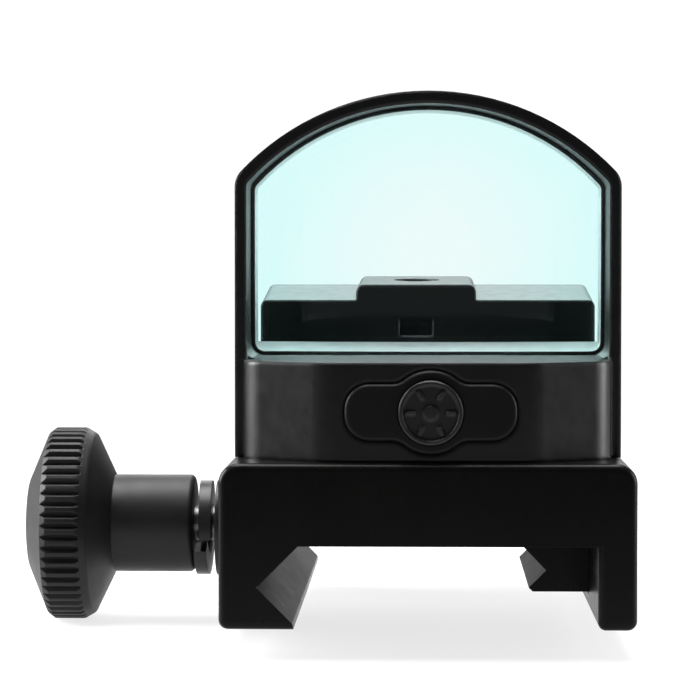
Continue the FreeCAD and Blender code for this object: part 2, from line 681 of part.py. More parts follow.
def make_knob():
    """The thumb knob: a turned blank, grooves round its crown and a slot across its face."""
    body = new_body("thumb_screw_knob")
    blank = new_sketch(body, "knob_profile", "XZ_Plane", 0, d.screw_z)
    face = d.knob_face_x
    bore_floor = d.knob_end_x - d.knob_bore_depth
    outline(blank, [
        (face, 0),
        (face, d.knob_face_radius),
        (face + d.knob_cone_depth, d.knob_crown_radius - d.knob_cone_drop),
        (face + d.crown_start, d.knob_crown_radius),
        (face + d.crown_end, d.knob_crown_radius),
        (face + d.knob_shoulder, d.knob_crown_radius - d.knob_shoulder_drop),
        (face + d.shank_start, d.knob_shank_radius),
        (d.knob_end_x, d.knob_shank_radius),
        (d.knob_end_x, d.stud_neck_radius),
        (bore_floor, d.stud_neck_radius),
        (bore_floor, 0),
    ])
    turned = body.newObject("PartDesign::Revolution", "knob_blank")
    turned.Profile = blank
    turned.ReferenceAxis = (blank, ["H_Axis"])
    turned.Angle = 360
    rear_edges = [-(face + d.crown_end), -(face + d.knob_shoulder), -d.knob_end_x]
    round_off(body, "knob_soft_edges", d.knob_round, lambda edge: (
        isinstance(edge.Curve, Part.Circle)
        and any(lies_at(edge, x=place) for place in rear_edges)
        and edge.Curve.Radius > d.knob_shank_radius.value - d.knob_round.value))
    groove_sketch = new_sketch(body, "knurl_groove", "YZ_Plane", face + d.knurl_end, d.screw_z)
    half_groove = d.knob_crown_radius * (math.pi / KNURL_COUNT * KNURL_SHARE)
    outline(groove_sketch, [
        (0, d.knob_crown_radius - d.knurl_depth),
        (half_groove, d.knob_crown_radius + d.thread_gap),
        (-half_groove, d.knob_crown_radius + d.thread_gap),
    ])
    groove = pocket(body, groove_sketch, d.knurl_length)
    pattern(body, groove, blank, "H_Axis", KNURL_COUNT)
    slot_sketch = new_sketch(body, "coin_slot", "YZ_Plane", face + d.coin_slot_depth, d.screw_z)
    slot_sketch.AttachmentOffset = Placement(
        slot_sketch.AttachmentOffset.Base, Rotation(Vector(0, 0, 1), COIN_SLOT_ANGLE))
    half_slot = 0.5 * d.coin_slot_width
    reach = d.knob_crown_radius + OVERCUT
    outline(slot_sketch, [
        (-half_slot, -reach),
        (half_slot, -reach),
        (half_slot, reach),
        (-half_slot, reach),
    ])
    pocket(body, slot_sketch, d.coin_slot_depth + OVERCUT)
    node(body)


def make_stud():
    """The clamp screw: a neck pressed into the knob, then the thread's major diameter."""
    axis = (0, d.screw_z)
    neck, thread = d.stud_neck_radius, d.stud_radius
    thread_start = d.neck_end_x + d.stud_chamfer
    thread_end = d.stud_end_x - d.stud_chamfer
    node(fuse(
        "clamp_screw_stud",
        round_bar("stud_neck", "x", axis, neck, d.knob_end_x - d.knob_bore_depth, d.neck_end_x),
        round_bar("stud_shoulder", "x", axis, neck, d.neck_end_x, thread_start, thread),
        round_bar("stud_thread", "x", axis, thread, thread_start, thread_end),
        round_bar("stud_tip", "x", axis, thread, thread_end, d.stud_end_x, neck),
    ))


def make_washers():
    """A split spring washer, made as one turn of a square coil, and a flat washer."""
    inner, outer = d.lock_washer_hole.value, d.lock_washer_radius.value
    half_thick = d.lock_washer_thick.value / 2
    rise = d.lock_washer_rise.value
    coil = Part.makeHelix(rise, rise * SPLIT_TURN, (inner + outer) / 2)
    section = Part.makePolygon([
        Vector(inner, 0, -half_thick),
        Vector(outer, 0, -half_thick),
        Vector(outer, 0, half_thick),
        Vector(inner, 0, half_thick),
        Vector(inner, 0, -half_thick),
    ])
    split = doc.addObject("Part::Feature", "lock_washer")
    split.Shape = Part.Wire(coil.Edges).makePipeShell([section], True, True)
    start = d.knob_end_x + 2 * d.washer_gap + 0.5 * d.lock_washer_thick
    height = d.screw_z - d.washer_drop
    turned = TURNED["x"].multiply(Rotation(Vector(0, 0, 1), SPLIT_ANGLE))
    split.Placement = Placement(Vector(start.value, 0, height.value), turned)
    node(split)
    flat_end = d.boss_face_x - d.washer_gap
    node(ring("flat_washer", "x", (0, height), d.flat_washer_radius, d.lock_washer_hole,
              flat_end - d.flat_washer_thick, flat_end))


# ---- housing -------------------------------------------------------------------------


def lens_margin():
    """The gap all round between the lens's edge and the hood's tunnel."""
    return d.half_width - d.hood_side_wall - d.lens_half_width


def lens_prism(name, grow, front, rear):
    """The lens's outline, larger all round by grow, as a prism along the line of sight."""
    body = new_body(name)
    inset = d.hood_crown_wall + lens_margin() - grow
    profile = new_sketch(body, f"{name}_outline", "XZ_Plane", -size_of(rear))
    half_width = d.lens_half_width + grow
    arch(profile, half_width, d.lens_bottom - grow, d.hood_top - inset, d.hood_radius - inset)
    pad(body, profile, size_of(rear) - front)
    round_off(body, f"{name}_corners", d.lens_corner + grow, lambda edge: (
        runs_along(edge, "y") and lies_at(edge, x=half_width)))
    return body


def housing_form():
    """The housing's outside: base, nose, hood and emitter block."""
    body = new_body("housing_form")
    root = d.deck - 2 * OVERCUT
    plan = new_sketch(body, "base_plan", "XY_Plane", d.mount_top)
    outline(plan, [
        (d.half_width, d.rear),
        (d.half_width, d.hood_front),
        (d.nose_half_width, d.hood_front),
        (d.nose_half_width, d.nose_corner),
        (d.nose_flat, d.nose_front),
        (-d.nose_flat, d.nose_front),
        (-d.nose_half_width, d.nose_corner),
        (-d.nose_half_width, d.hood_front),
        (-d.half_width, d.hood_front),
        (-d.half_width, d.rear),
    ])
    pad(body, plan, d.deck - d.mount_top)
    round_off(body, "nose_corners", d.nose_round, lambda edge: (
        runs_along(edge, "z") and lies_at(edge, x=d.nose_half_width, y=d.nose_corner)))
    round_off(body, "nose_front_edges", d.nose_edge_round, lambda edge: (
        runs_along(edge, "z") and lies_at(edge, x=d.nose_flat, y=d.nose_front)))

    hood = new_sketch(body, "hood_outline", "XZ_Plane", -d.hood_rear)
    arch(hood, d.half_width, root, d.hood_top, d.hood_radius)
    pad(body, hood, d.hood_rear - d.hood_front)
    round_off(body, "hood_shoulders", d.hood_shoulder, lambda edge: (
        runs_along(edge, "y") and lies_at(edge, x=d.half_width)
        and edge.CenterOfMass.z > d.block_top.value))

    sweep = new_sketch(body, "hood_sweep", "YZ_Plane", d.half_width + OVERCUT)
    outline(sweep, [
        (d.hood_rear, d.deck),
        (d.hood_rear_top, d.hood_top + OVERCUT),
        (d.hood_rear + OVERCUT, d.hood_top + OVERCUT),
        (d.hood_rear + OVERCUT, d.deck),
    ])
    pocket(body, sweep, 2 * (d.half_width + OVERCUT))

    block = new_sketch(body, "block_outline", "YZ_Plane", -d.half_width)
    outline(block, [
        (d.block_front, root),
        (d.rear, root),
        (d.rear, d.block_rear_top),
        (d.block_front, d.block_top),
    ])
    pad(body, block, 2 * d.half_width)
    round_off(body, "block_side_edges", d.block_round, lambda edge: (
        lies_at(edge, x=d.half_width)
        and edge.CenterOfMass.z > d.block_top.value
        and edge.CenterOfMass.y > d.block_front.value))
    round_off(body, "rear_corners", d.rear_round, lambda edge: (
        runs_along(edge, "z") and lies_at(edge, x=d.half_width, y=d.rear)))
    return body


def hump_form():
    """The raised boss round the elevation screw, on top of the emitter block."""
    body = new_body("hump_form")
    hump = new_sketch(body, "hump_outline", "YZ_Plane", d.hump_left)
    outline(hump, [
        (d.block_front, d.deck),
        (d.rear, d.deck),
        (d.rear, d.hump_rear_top),
        (d.block_front, d.hump_top),
    ])
    pad(body, hump, d.hump_right - d.hump_left)
    round_off(body, "hump_edges", d.hump_round, lambda edge: (
        (lies_at(edge, x=-d.hump_left) or lies_at(edge, x=d.hump_right))
        and edge.CenterOfMass.z > d.hump_top.value))
    return body


def keyhole(name, radius, half_width, front, low, high):
    """The electronics bay's plan, a circle with a bay towards the nose, as a solid."""
    return fuse(
        name,
        round_bar(f"{name}_round", "z", (0, d.bay_y), radius, low, high),
        box(f"{name}_nose", around(d.button_x, half_width), (front, d.bay_y), (low, high)),
    )


def surround_form(name, rear, front, grow=0):
    """The button surround's dog-bone form, rounded where its wings meet the middle."""
    body = new_body(name)
    wings = new_sketch(body, f"{name}_wings", "XZ_Plane", -rear)
    half_length = d.pad_half_length + grow
    half_height = d.pad_half_height + grow
    outline(wings, [
        (d.button_x - half_length, d.button_z - half_height),
        (d.button_x + half_length, d.button_z - half_height),
        (d.button_x + half_length, d.button_z + half_height),
        (d.button_x - half_length, d.button_z + half_height),
    ])
    pad(body, wings, rear - front)
    round_off(body, f"{name}_wing_tips", half_height - d.pad_tip_flat, lambda edge: runs_along(edge, "y"))
    middle = new_sketch(body, f"{name}_middle", "XZ_Plane", -rear)
    circle(middle, d.button_x, d.button_z, d.pad_bulge_radius + grow)
    pad(body, middle, rear - front)
    round_off(body, f"{name}_waists", d.pad_waist_round - grow, lambda edge: (
        runs_along(edge, "y") and abs(edge.CenterOfMass.x - d.button_x.value) < d.pad_bulge_radius.value))
    return body


def make_housing():
    """The housing's form without its tunnel, bay, cavity, recesses and holes."""
    below = d.mount_top - OVERCUT
    emitter_axis = (d.emitter_x, d.adjust_y)
    windage_axis = (d.adjust_y, d.windage_z)
    window_back = d.block_front + d.window_depth
    lip_rear = d.hood_front + d.lip_depth
    tunnel_floor = d.lens_bottom - lens_margin()
    lip_half_width = d.lens_half_width + lens_margin() - d.lip_step
    tools = [
        lens_prism("hood_tunnel", lens_margin(), lip_rear, d.hood_rear + OVERCUT),
        lens_prism("hood_mouth", lens_margin() - d.lip_step, d.hood_front - OVERCUT, lip_rear + OVERCUT),
        box("mouth_floor", around(0, lip_half_width), (d.hood_front - OVERCUT, lip_rear + OVERCUT),
            (tunnel_floor, tunnel_floor + 2 * d.lens_corner)),
        keyhole("electronics_bay", d.bay_radius, d.bay_nose_half_width, d.bay_front, below, d.bay_roof),
        cut(
            "gasket_groove",
            keyhole("groove_outside", d.gasket_outer, d.gasket_nose_outer, d.gasket_front_outer,
                    below, d.gasket_top),
            keyhole("groove_inside", d.gasket_inner, d.gasket_nose_inner, d.gasket_front_inner,
                    below - OVERCUT, d.gasket_top + OVERCUT),
        ),
        box("emitter_cavity", around(d.emitter_x, d.cavity_half_width), (d.cavity_front, d.cavity_rear),
            (below, d.cavity_roof)),
        box("cover_recess", around(d.emitter_x, d.cavity_half_width + d.cover_margin),
            (d.cover_front, d.cover_rear), (below, d.cover_top)),
        box("lead_slot", around(d.emitter_x, d.lead_slot_half_width),
            (d.lead_slot_front, d.cavity_front + OVERLAP), (d.lead_slot_bottom, d.lead_slot_top)),
        box("window_recess", around(d.emitter_x, d.window_half_width),
            (d.block_front - OVERCUT, window_back),
            around(d.emitter_z, d.window_half_height)),
        box("window_opening", around(d.emitter_x, d.window_half_width - d.window_rim),
            (d.block_front, d.cavity_front + OVERLAP),
            around(d.emitter_z, d.window_half_height - 0.5 * d.window_rim)),
        round_bar("windage_bore", "x", windage_axis, d.adjuster_radius + d.running_gap,
                  d.emitter_x, d.half_width),
        round_bar("windage_opening", "x", windage_axis, d.windage_recess, d.windage_recess_x,
                  d.half_width + OVERCUT),
        round_bar("elevation_opening", "z", emitter_axis, d.elevation_opening, d.cavity_roof - OVERCUT,
                  d.hump_rear_top + OVERCUT),
        surround_form("surround_recess", d.pad_floor, d.nose_front - OVERCUT, d.fit_gap),
        round_bar("button_hole", "y", (d.button_x, d.button_z), d.button_hole, d.nose_front,
                  d.bay_front + OVERLAP),
    ]
    for side, sign in (("left", -1), ("right", 1)):
        screw = (d.body_screw_x * sign, d.body_screw_y)
        cover_screw = (d.emitter_x + d.cover_screw_x * sign, d.adjust_y)
        tools.append(round_bar(f"screw_hole_{side}", "z", screw,
                               d.body_screw_radius + d.bore_gap, below, d.deck))
        tools.append(round_bar(f"screw_recess_{side}", "z", screw, d.body_screw_head + d.head_gap,
                               d.body_screw_seat, d.deck + OVERCUT))
        tools.append(round_bar(f"cover_tap_{side}", "z", cover_screw, d.cover_screw_radius,
                               d.mount_top, d.cover_screw_top + d.bore_gap))
        for end, y in (("front", d.pin_front_y), ("rear", d.pin_rear_y)):
            tools.append(round_bar(f"pin_socket_{end}_{side}", "z", (d.pin_x * sign, y),
                                   d.pin_radius + d.fit_gap, below, d.pin_top + d.bore_gap))
    node(cut("housing", fuse("housing_blank", housing_form(), hump_form()), *tools))


# ---- lens ----------------------------------------------------------------------------


def make_lens():
    """The meniscus lens and the dark bead of adhesive that holds its edge in the hood."""
    lens_rear = d.lens_front + d.lens_thick
    meniscus = cut(
        "lens_blank",
        ball("lens_front_surface", d.lens_front + d.lens_front_radius, d.lens_centre_z,
             d.lens_front_radius),
        ball("lens_rear_surface", lens_rear + d.lens_rear_radius, d.lens_centre_z, d.lens_rear_radius),
    )
    node(common("lens", lens_prism("lens_edge", 0, d.lens_front - OVERCUT, d.lens_rear_limit), meniscus))
    node(cut(
        "lens_bond",
        lens_prism("bond_outside", lens_margin() - d.bond_gap, d.bond_front, d.bond_rear),
        lens_prism("bond_inside", d.bond_gap, d.bond_front - OVERCUT, d.bond_rear + OVERCUT),
    ))


# ---- button --------------------------------------------------------------------------


def make_button_pad():
    body = surround_form("pad_form", d.pad_floor, d.pad_front)
    round_off(body, "pad_rim", d.pad_rim_round, lambda edge: lies_at(edge, y=d.pad_front))
    hole = round_bar("pad_hole", "y", (d.button_x, d.button_z), d.button_radius + d.running_gap,
                     d.pad_front - OVERCUT, d.pad_floor + OVERCUT)
    node(cut("button_pad", body, hole))


def make_button_cap():
    """The pressed cap: a dished face with a raised rim, a dot and rays, on a stem."""
    body = new_body("button_cap")
    face = d.button_front + d.cap_dish
    disc = new_sketch(body, "cap_disc", "XZ_Plane", -d.button_back)
    circle(disc, d.button_x, d.button_z, d.button_radius)
    pad(body, disc, d.button_back - d.button_front)
    round_off(body, "cap_rim_edge", d.cap_rim_round, lambda edge: lies_at(edge, y=d.button_front))
    dish = new_sketch(body, "cap_dish_outline", "XZ_Plane", OVERCUT - d.button_front)
    circle(dish, d.button_x, d.button_z, d.button_radius - d.cap_rim_width)
    dish_cut = body.newObject("PartDesign::Pocket", "cap_dish_cut")
    dish_cut.Profile = dish
    bind(dish_cut, "Length", d.cap_dish + OVERCUT)
    dot = new_sketch(body, "cap_dot", "XZ_Plane", -face)
    circle(dot, d.button_x, d.button_z, d.cap_dot_radius)
    pad(body, dot, d.cap_symbol)
    ray = new_sketch(body, "cap_ray", "XZ_Plane", -face)
    outline(ray, [
        (d.button_x + d.ray_start, d.button_z - d.ray_half_width),
        (d.button_x + d.ray_end, d.button_z - d.ray_half_width),
        (d.button_x + d.ray_end, d.button_z + d.ray_half_width),
        (d.button_x + d.ray_start, d.button_z + d.ray_half_width),
    ])
    ray_pad = pad(body, ray, d.cap_symbol)
    axis = new_sketch(body, "cap_axis", "XZ_Plane", 0, d.button_z)
    bind(axis, "AttachmentOffset.Base.x", d.button_x)
    pattern(body, ray_pad, axis, "N_Axis", RAY_COUNT)
    stem_end = d.bay_front - d.stem_gap
    stem = new_sketch(body, "cap_stem", "XZ_Plane", -stem_end)
    circle(stem, d.button_x, d.button_z, d.stem_radius)
    pad(body, stem, stem_end - d.button_back)
    node(body)


def make_switch():
    """The switch behind the button and its plunger."""
    centre = (d.button_x, d.button_z)
    node(cut(
        "switch_body",
        box("switch_case", around(d.button_x, d.switch_half_width),
            (d.switch_front, d.switch_front + d.switch_length), (d.switch_bottom, d.board_bottom)),
        round_bar("switch_socket", "y", centre, d.plunger_radius + d.running_gap,
                  d.switch_front - OVERCUT, d.switch_front + d.socket_depth),
    ))
    node(round_bar("switch_plunger", "y", centre, d.plunger_radius, d.bay_front,
                   d.switch_front + d.plunger_depth))


# ---- electronics ---------------------------------------------------------------------


def make_electronics():
    """The circuit board with its chips, the coin cell with its contacts, and the gasket."""
    node(fuse(
        "circuit_board",
        round_bar("board_round", "z", (0, d.bay_y), d.board_radius, d.board_bottom, d.board_top),
        box("board_front", around(d.button_x, d.board_tab), (d.bay_front + d.bore_gap, d.bay_y),
            (d.board_bottom, d.board_top)),
    ))
    chips = (("driver", -6.5, -4.5, 1.9), ("regulator", 5.5, -5.5, 1.2), ("memory", 5.5, 3.0, 1.4))
    node(fuse("board_chips", *[
        box(f"{name}_chip", around(x, half), around(y, half),
            (d.board_bottom - d.chip_height, d.board_bottom))
        for name, x, y, half in chips
    ]))
    node(fuse(
        "battery",
        round_bar("battery_can", "z", (0, d.bay_y), d.battery_radius, d.battery_bottom, d.battery_step),
        round_bar("battery_cap", "z", (0, d.bay_y), d.battery_cap_radius, d.battery_step, d.battery_top),
    ))
    contact_y = (d.bay_y - 0.5 * d.contact_width, d.bay_y + 0.5 * d.contact_width)
    leaf_top = d.battery_top + d.contact_thick
    node(fuse(
        "battery_centre_contact",
        box("contact_leaf", around(0, d.contact_reach), contact_y,
            (d.battery_top + d.slight_gap, leaf_top)),
        box("contact_riser", (d.contact_reach - d.contact_thick, d.contact_reach), contact_y,
            (d.battery_top + 0.5 * d.contact_thick, d.board_bottom)),
    ))
    side_contact_x = d.battery_radius + d.bore_gap
    node(box("battery_side_contact", (side_contact_x, side_contact_x + d.contact_thick), contact_y,
             (d.side_contact_bottom, d.board_bottom)))
    node(round_bar("battery_insulator", "z", (0, d.bay_y), d.insulator_radius, d.mount_top,
                   d.battery_bottom - d.fit_gap))
    node(cut(
        "base_gasket",
        keyhole("gasket_outside", d.gasket_outer - d.slight_gap, d.gasket_nose_outer - d.slight_gap,
                d.gasket_front_outer + d.slight_gap, d.mount_top, d.gasket_top - d.slight_gap),
        keyhole("gasket_inside", d.gasket_inner + d.slight_gap, d.gasket_nose_inner + d.slight_gap,
                d.gasket_front_inner - d.slight_gap, d.mount_top - OVERCUT, d.gasket_top + OVERCUT),
    ))


# ---- emitter and adjusters -----------------------------------------------------------


def spring(name, axis, centre, radius, length):
    """A small coil spring of eight-sided wire with its low end at centre."""
    wire = d.spring_wire.value
    coil = Part.makeHelix(length.value / SPRING_TURNS, length.value, radius.value)
    corners = []
    for side in range(WIRE_SIDES):
        angle = 2 * math.pi * (side + 0.5) / WIRE_SIDES
        corners.append(Vector(radius.value + wire * math.cos(angle), 0, wire * math.sin(angle)))
    section = Part.makePolygon(corners + corners[:1])
    part = doc.addObject("Part::Feature", name)
    part.Shape = Part.Wire(coil.Edges).makePipeShell([section], True, True)
    part.Placement = Placement(Vector(*[place.value for place in centre]), TURNED[axis])
    node(part)


def make_emitter_window():
    """The pane in front of the emitter, flush with the block's front wall."""
    pane_y = (d.block_front + d.slight_gap, d.block_front + d.window_depth - d.slight_gap)
    node(box("emitter_window", around(d.emitter_x, d.window_half_width - d.fit_gap), pane_y,
             around(d.emitter_z, d.window_half_height - d.fit_gap)))


def make_cover_plate():
    """The plate under the emitter cavity and its two slotted screws."""
    half_width = d.cavity_half_width + d.cover_margin - d.fit_gap
    holes = []
    screws = []
    for side, sign in (("left", -1), ("right", 1)):
        centre = (d.emitter_x + d.cover_screw_x * sign, d.adjust_y)
        holes.append(round_bar(f"cover_hole_{side}", "z", centre, d.cover_screw_head + d.slight_gap,
                               d.cover_bottom - OVERCUT, d.cover_top + OVERCUT))
        head_bottom = d.cover_bottom + d.bore_gap
        blank = fuse(
            f"cover_screw_blank_{side}",
            round_bar(f"cover_head_{side}", "z", centre, d.cover_screw_head, head_bottom, d.cover_top),
            round_bar(f"cover_shank_{side}", "z", centre, d.cover_screw_radius,
                      d.cover_top, d.cover_screw_top),
        )
        slot = box(f"cover_drive_{side}", around(centre[0], d.cover_drive_reach),
                   around(d.adjust_y, d.cover_drive_half_width),
                   (head_bottom - OVERCUT, head_bottom + d.drive_depth))
        screws.append(cut(f"cover_screw_{side}", blank, slot))
    plate = box("cover_blank", around(d.emitter_x, half_width),
                (d.cover_front + d.fit_gap, d.cover_rear - d.fit_gap), (d.cover_bottom, d.cover_top))
    node(cut("emitter_cover_plate", plate, *holes))
    node(fuse("cover_screws", *screws))


def make_windage():
    """The screw that turns in the housing's side and the carriage that it moves."""
    axis = (d.adjust_y, d.windage_z)
    emitter_axis = (d.emitter_x, d.adjust_y)
    screw = fuse(
        "windage_blank",
        round_bar("windage_head", "x", axis, d.windage_head, d.windage_head_x, d.windage_end_x),
        round_bar("windage_shank", "x", axis, d.adjuster_radius, d.windage_tip_x, d.windage_head_x),
    )
    drive = box("windage_drive", (d.windage_end_x - d.drive_depth, d.windage_end_x + OVERCUT),
                around(d.adjust_y, d.windage_head + OVERCUT), around(d.windage_z, d.drive_half_width))
    node(cut("windage_screw", screw, drive))
    node(ring("windage_clip", "x", axis, d.clip_radius, d.adjuster_radius,
              d.clip_x - 0.5 * d.clip_thick, d.clip_x + 0.5 * d.clip_thick))

    slot_x = around(d.emitter_x, d.carrier_half_width + d.carrier_gap)
    slot_front = d.carriage_front - d.carrier_gap
    above = d.carriage_top + OVERCUT
    node(cut(
        "windage_carriage",
        box("carriage_block", around(d.emitter_x, d.carriage_half_width),
            (d.carriage_front, d.carriage_rear),
            (d.carriage_bottom, d.carriage_top)),
        box("carrier_slot", slot_x, (slot_front, d.slot_rear), (d.slot_bottom, d.slot_top)),
        box("post_slot", slot_x, (slot_front, d.post_rear + 2 * d.carrier_gap),
            (d.slot_top - d.carrier_gap, above)),
        round_bar("carriage_thread", "x", axis, d.adjuster_radius + d.thread_gap, d.emitter_x,
                  d.emitter_x + d.carriage_half_width + OVERCUT),
        round_bar("elevation_bearing", "z", emitter_axis, d.adjuster_radius + d.running_gap,
                  d.slot_top - d.carrier_gap, above),
        round_bar("spring_pocket", "x", axis, d.spring_pocket_radius, d.windage_spring_x - OVERCUT,
                  d.spring_pocket_x),
    ))
    spring("windage_spring", "x", (d.windage_spring_x, *axis), d.windage_spring_radius,
           d.windage_spring_length)


def make_elevation():
    """The screw on top of the emitter block, and the carrier with the emitter that it raises."""
    axis = (d.emitter_x, d.adjust_y)
    screw = fuse(
        "elevation_blank",
        round_bar("elevation_head", "z", axis, d.elevation_head,
                  d.elevation_head_bottom, d.elevation_head_top),
        round_bar("elevation_flange", "z", axis, d.elevation_flange, d.elevation_flange_bottom,
                  d.elevation_flange_top),
        round_bar("elevation_shank", "z", axis, d.adjuster_radius,
                  d.elevation_tip, d.elevation_head_bottom),
    )
    drive = box("elevation_drive", around(d.emitter_x, d.elevation_head + OVERCUT),
                around(d.adjust_y, d.drive_half_width),
                (d.elevation_head_top - d.drive_depth, d.elevation_head_top + OVERCUT))
    node(cut("elevation_screw", screw, drive))

    across = around(d.emitter_x, d.carrier_half_width)
    node(cut(
        "emitter_carrier",
        fuse(
            "carrier_blank",
            box("carrier_block", across, (d.carrier_front, d.carrier_rear),
                (d.carrier_bottom, d.carrier_top)),
            box("carrier_post", across, (d.carrier_front, d.post_rear),
                (d.carrier_bottom, d.carrier_post_top)),
        ),
        round_bar("carrier_thread", "z", axis, d.adjuster_radius + d.thread_gap, d.carrier_bottom - OVERCUT,
                  d.carrier_top + OVERCUT),
        round_bar("carrier_counterbore", "z", axis, d.counterbore_radius, d.counterbore_floor,
                  d.carrier_top + OVERCUT),
    ))
    spring("elevation_spring", "z", (*axis, d.elevation_spring_z), d.elevation_spring_radius,
           d.elevation_spring_length)
    led_front = d.carrier_front - d.led_thick
    mask_front = led_front - d.mask_thick
    node(box("emitter_led", around(d.emitter_x, d.led_half_width), (led_front, d.carrier_front),
             around(d.emitter_z, d.led_half_height)))
    node(cut(
        "emitter_mask",
        box("mask_blank", around(d.emitter_x, d.mask_half_width), (mask_front, led_front),
            (d.mask_bottom, d.mask_top)),
        round_bar("mask_pinhole", "y", (d.emitter_x, d.emitter_z), d.mask_hole, mask_front - OVERCUT,
                  led_front + OVERCUT),
    ))


def make_flex_lead():
    """The thin ribbon from the circuit board to the emitter, folded up in front of the carrier."""
    across = around(d.emitter_x, d.lead_half_width)
    low = (d.board_bottom - d.lead_thick, d.board_bottom)
    upright = (d.lead_fold - d.lead_thick, d.lead_fold)
    node(fuse(
        "flex_lead",
        box("lead_run", across, (d.lead_start, d.lead_fold), low),
        box("lead_rise", across, upright, (d.board_bottom - d.lead_thick, d.lead_top)),
        box("lead_return", across, (d.lead_fold - d.lead_thick, d.lead_end),
            (d.lead_top - d.lead_thick, d.lead_top)),
    ))


# ---- fasteners -----------------------------------------------------------------------


def make_body_screws():
    """The two screws that hold the housing to the clamp block, with hexagon sockets."""
    screws = []
    shank_top = d.body_screw_seat + d.fit_gap
    for side, sign in (("left", -1), ("right", 1)):
        centre = (d.body_screw_x * sign, d.body_screw_y)
        socket = doc.addObject("Part::Prism", f"socket_{side}")
        socket.Polygon = 6
        bind(socket, "Circumradius", d.hex_radius)
        bind(socket, "Height", d.body_screw_top - d.hex_floor + OVERCUT)
        bind(socket, "Placement.Base.x", centre[0])
        bind(socket, "Placement.Base.y", centre[1])
        bind(socket, "Placement.Base.z", d.hex_floor)
        blank = fuse(
            f"body_screw_blank_{side}",
            round_bar(f"body_head_{side}", "z", centre, d.body_screw_head, shank_top, d.body_screw_top),
            round_bar(f"body_shank_{side}", "z", centre, d.body_screw_radius, d.body_screw_tip, shank_top),
        )
        screws.append(cut(f"body_screw_{side}", blank, socket))
    node(fuse("body_screws", *screws))


def make_locating_pins():
    """The four pins that hold the housing in place on the clamp block."""
    node(fuse("locating_pins", *[
        round_bar(f"pin_{end}_{side}", "z", (d.pin_x * sign, y), d.pin_radius, d.pin_bottom, d.pin_top)
        for side, sign in (("left", -1), ("right", 1))
        for end, y in (("front", d.pin_front_y), ("rear", d.pin_rear_y))
    ]))


def check_and_export():
    """Stop on any failed object or bad shape, then write one STEP file per sub-part."""
    doc.recompute()
    for thing in doc.Objects:
        if "Invalid" in thing.State or "Error" in thing.State:
            raise RuntimeError(f"{thing.Name} is {thing.State}")
    os.makedirs("parts", exist_ok=True)
    for part in nodes:
        shape = part.Shape
        if shape.isNull() or not shape.isValid() or not shape.Solids:
            raise RuntimeError(f"{part.Label} has no valid solid")
    for part in nodes:
        part.Shape.exportStep(f"parts/{part.Label}.step")
        limits = part.Shape.BoundBox
        print(f"{part.Label}: {len(part.Shape.Solids)} solid(s), {part.Shape.Volume:.2f} mm3, "
              f"x {limits.XMin:.2f}..{limits.XMax:.2f} y {limits.YMin:.2f}..{limits.YMax:.2f} "
              f"z {limits.ZMin:.2f}..{limits.ZMax:.2f}")


make_mount_base()
make_clamp_jaw()
make_knob()
make_stud()
make_washers()
make_housing()
make_lens()
make_button_pad()
make_button_cap()
make_switch()
make_electronics()
make_emitter_window()
make_cover_plate()
make_windage()
make_elevation()
make_flex_lead()
make_body_screws()
make_locating_pins()
check_and_export()
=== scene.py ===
"""The looks of a mini reflex sight on its rail clamp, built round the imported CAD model."""
import math

import bpy
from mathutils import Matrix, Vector


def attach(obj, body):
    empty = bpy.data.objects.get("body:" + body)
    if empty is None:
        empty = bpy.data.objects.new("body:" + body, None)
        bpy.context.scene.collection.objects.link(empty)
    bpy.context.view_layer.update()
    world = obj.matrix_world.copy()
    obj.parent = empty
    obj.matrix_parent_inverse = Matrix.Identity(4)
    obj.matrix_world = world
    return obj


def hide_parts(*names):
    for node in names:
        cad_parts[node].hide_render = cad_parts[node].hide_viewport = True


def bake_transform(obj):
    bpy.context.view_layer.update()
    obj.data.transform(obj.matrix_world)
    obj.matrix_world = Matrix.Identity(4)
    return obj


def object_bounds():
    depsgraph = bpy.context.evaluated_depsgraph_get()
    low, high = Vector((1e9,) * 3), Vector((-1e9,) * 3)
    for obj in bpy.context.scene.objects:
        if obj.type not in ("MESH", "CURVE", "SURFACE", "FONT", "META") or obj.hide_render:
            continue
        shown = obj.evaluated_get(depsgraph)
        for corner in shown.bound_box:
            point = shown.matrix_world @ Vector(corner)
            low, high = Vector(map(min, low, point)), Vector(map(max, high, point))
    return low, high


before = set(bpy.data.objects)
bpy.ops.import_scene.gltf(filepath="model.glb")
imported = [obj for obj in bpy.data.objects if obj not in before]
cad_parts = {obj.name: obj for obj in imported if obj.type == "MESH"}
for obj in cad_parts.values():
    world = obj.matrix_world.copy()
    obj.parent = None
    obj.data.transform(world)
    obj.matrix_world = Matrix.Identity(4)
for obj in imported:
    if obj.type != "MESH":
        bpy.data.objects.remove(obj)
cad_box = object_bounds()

MM = 0.001
X_AXIS = Vector((1, 0, 0))
Y_AXIS = Vector((0, 1, 0))
Z_AXIS = Vector((0, 0, 1))

# how far the shading rounds off hard edges
EDGE_ROUND = 0.12 * MM
FINE_EDGE_ROUND = EDGE_ROUND / 2
HOUSING_EDGE_ROUND = 0.4 * MM
MOUNT_EDGE_ROUND = 0.07 * MM
CAP_EDGE_ROUND = 0.22 * MM
EDGE_SAMPLES = 6

# noise scale of the blasted metal's grain
GRAIN = 1 / (0.05 * MM)

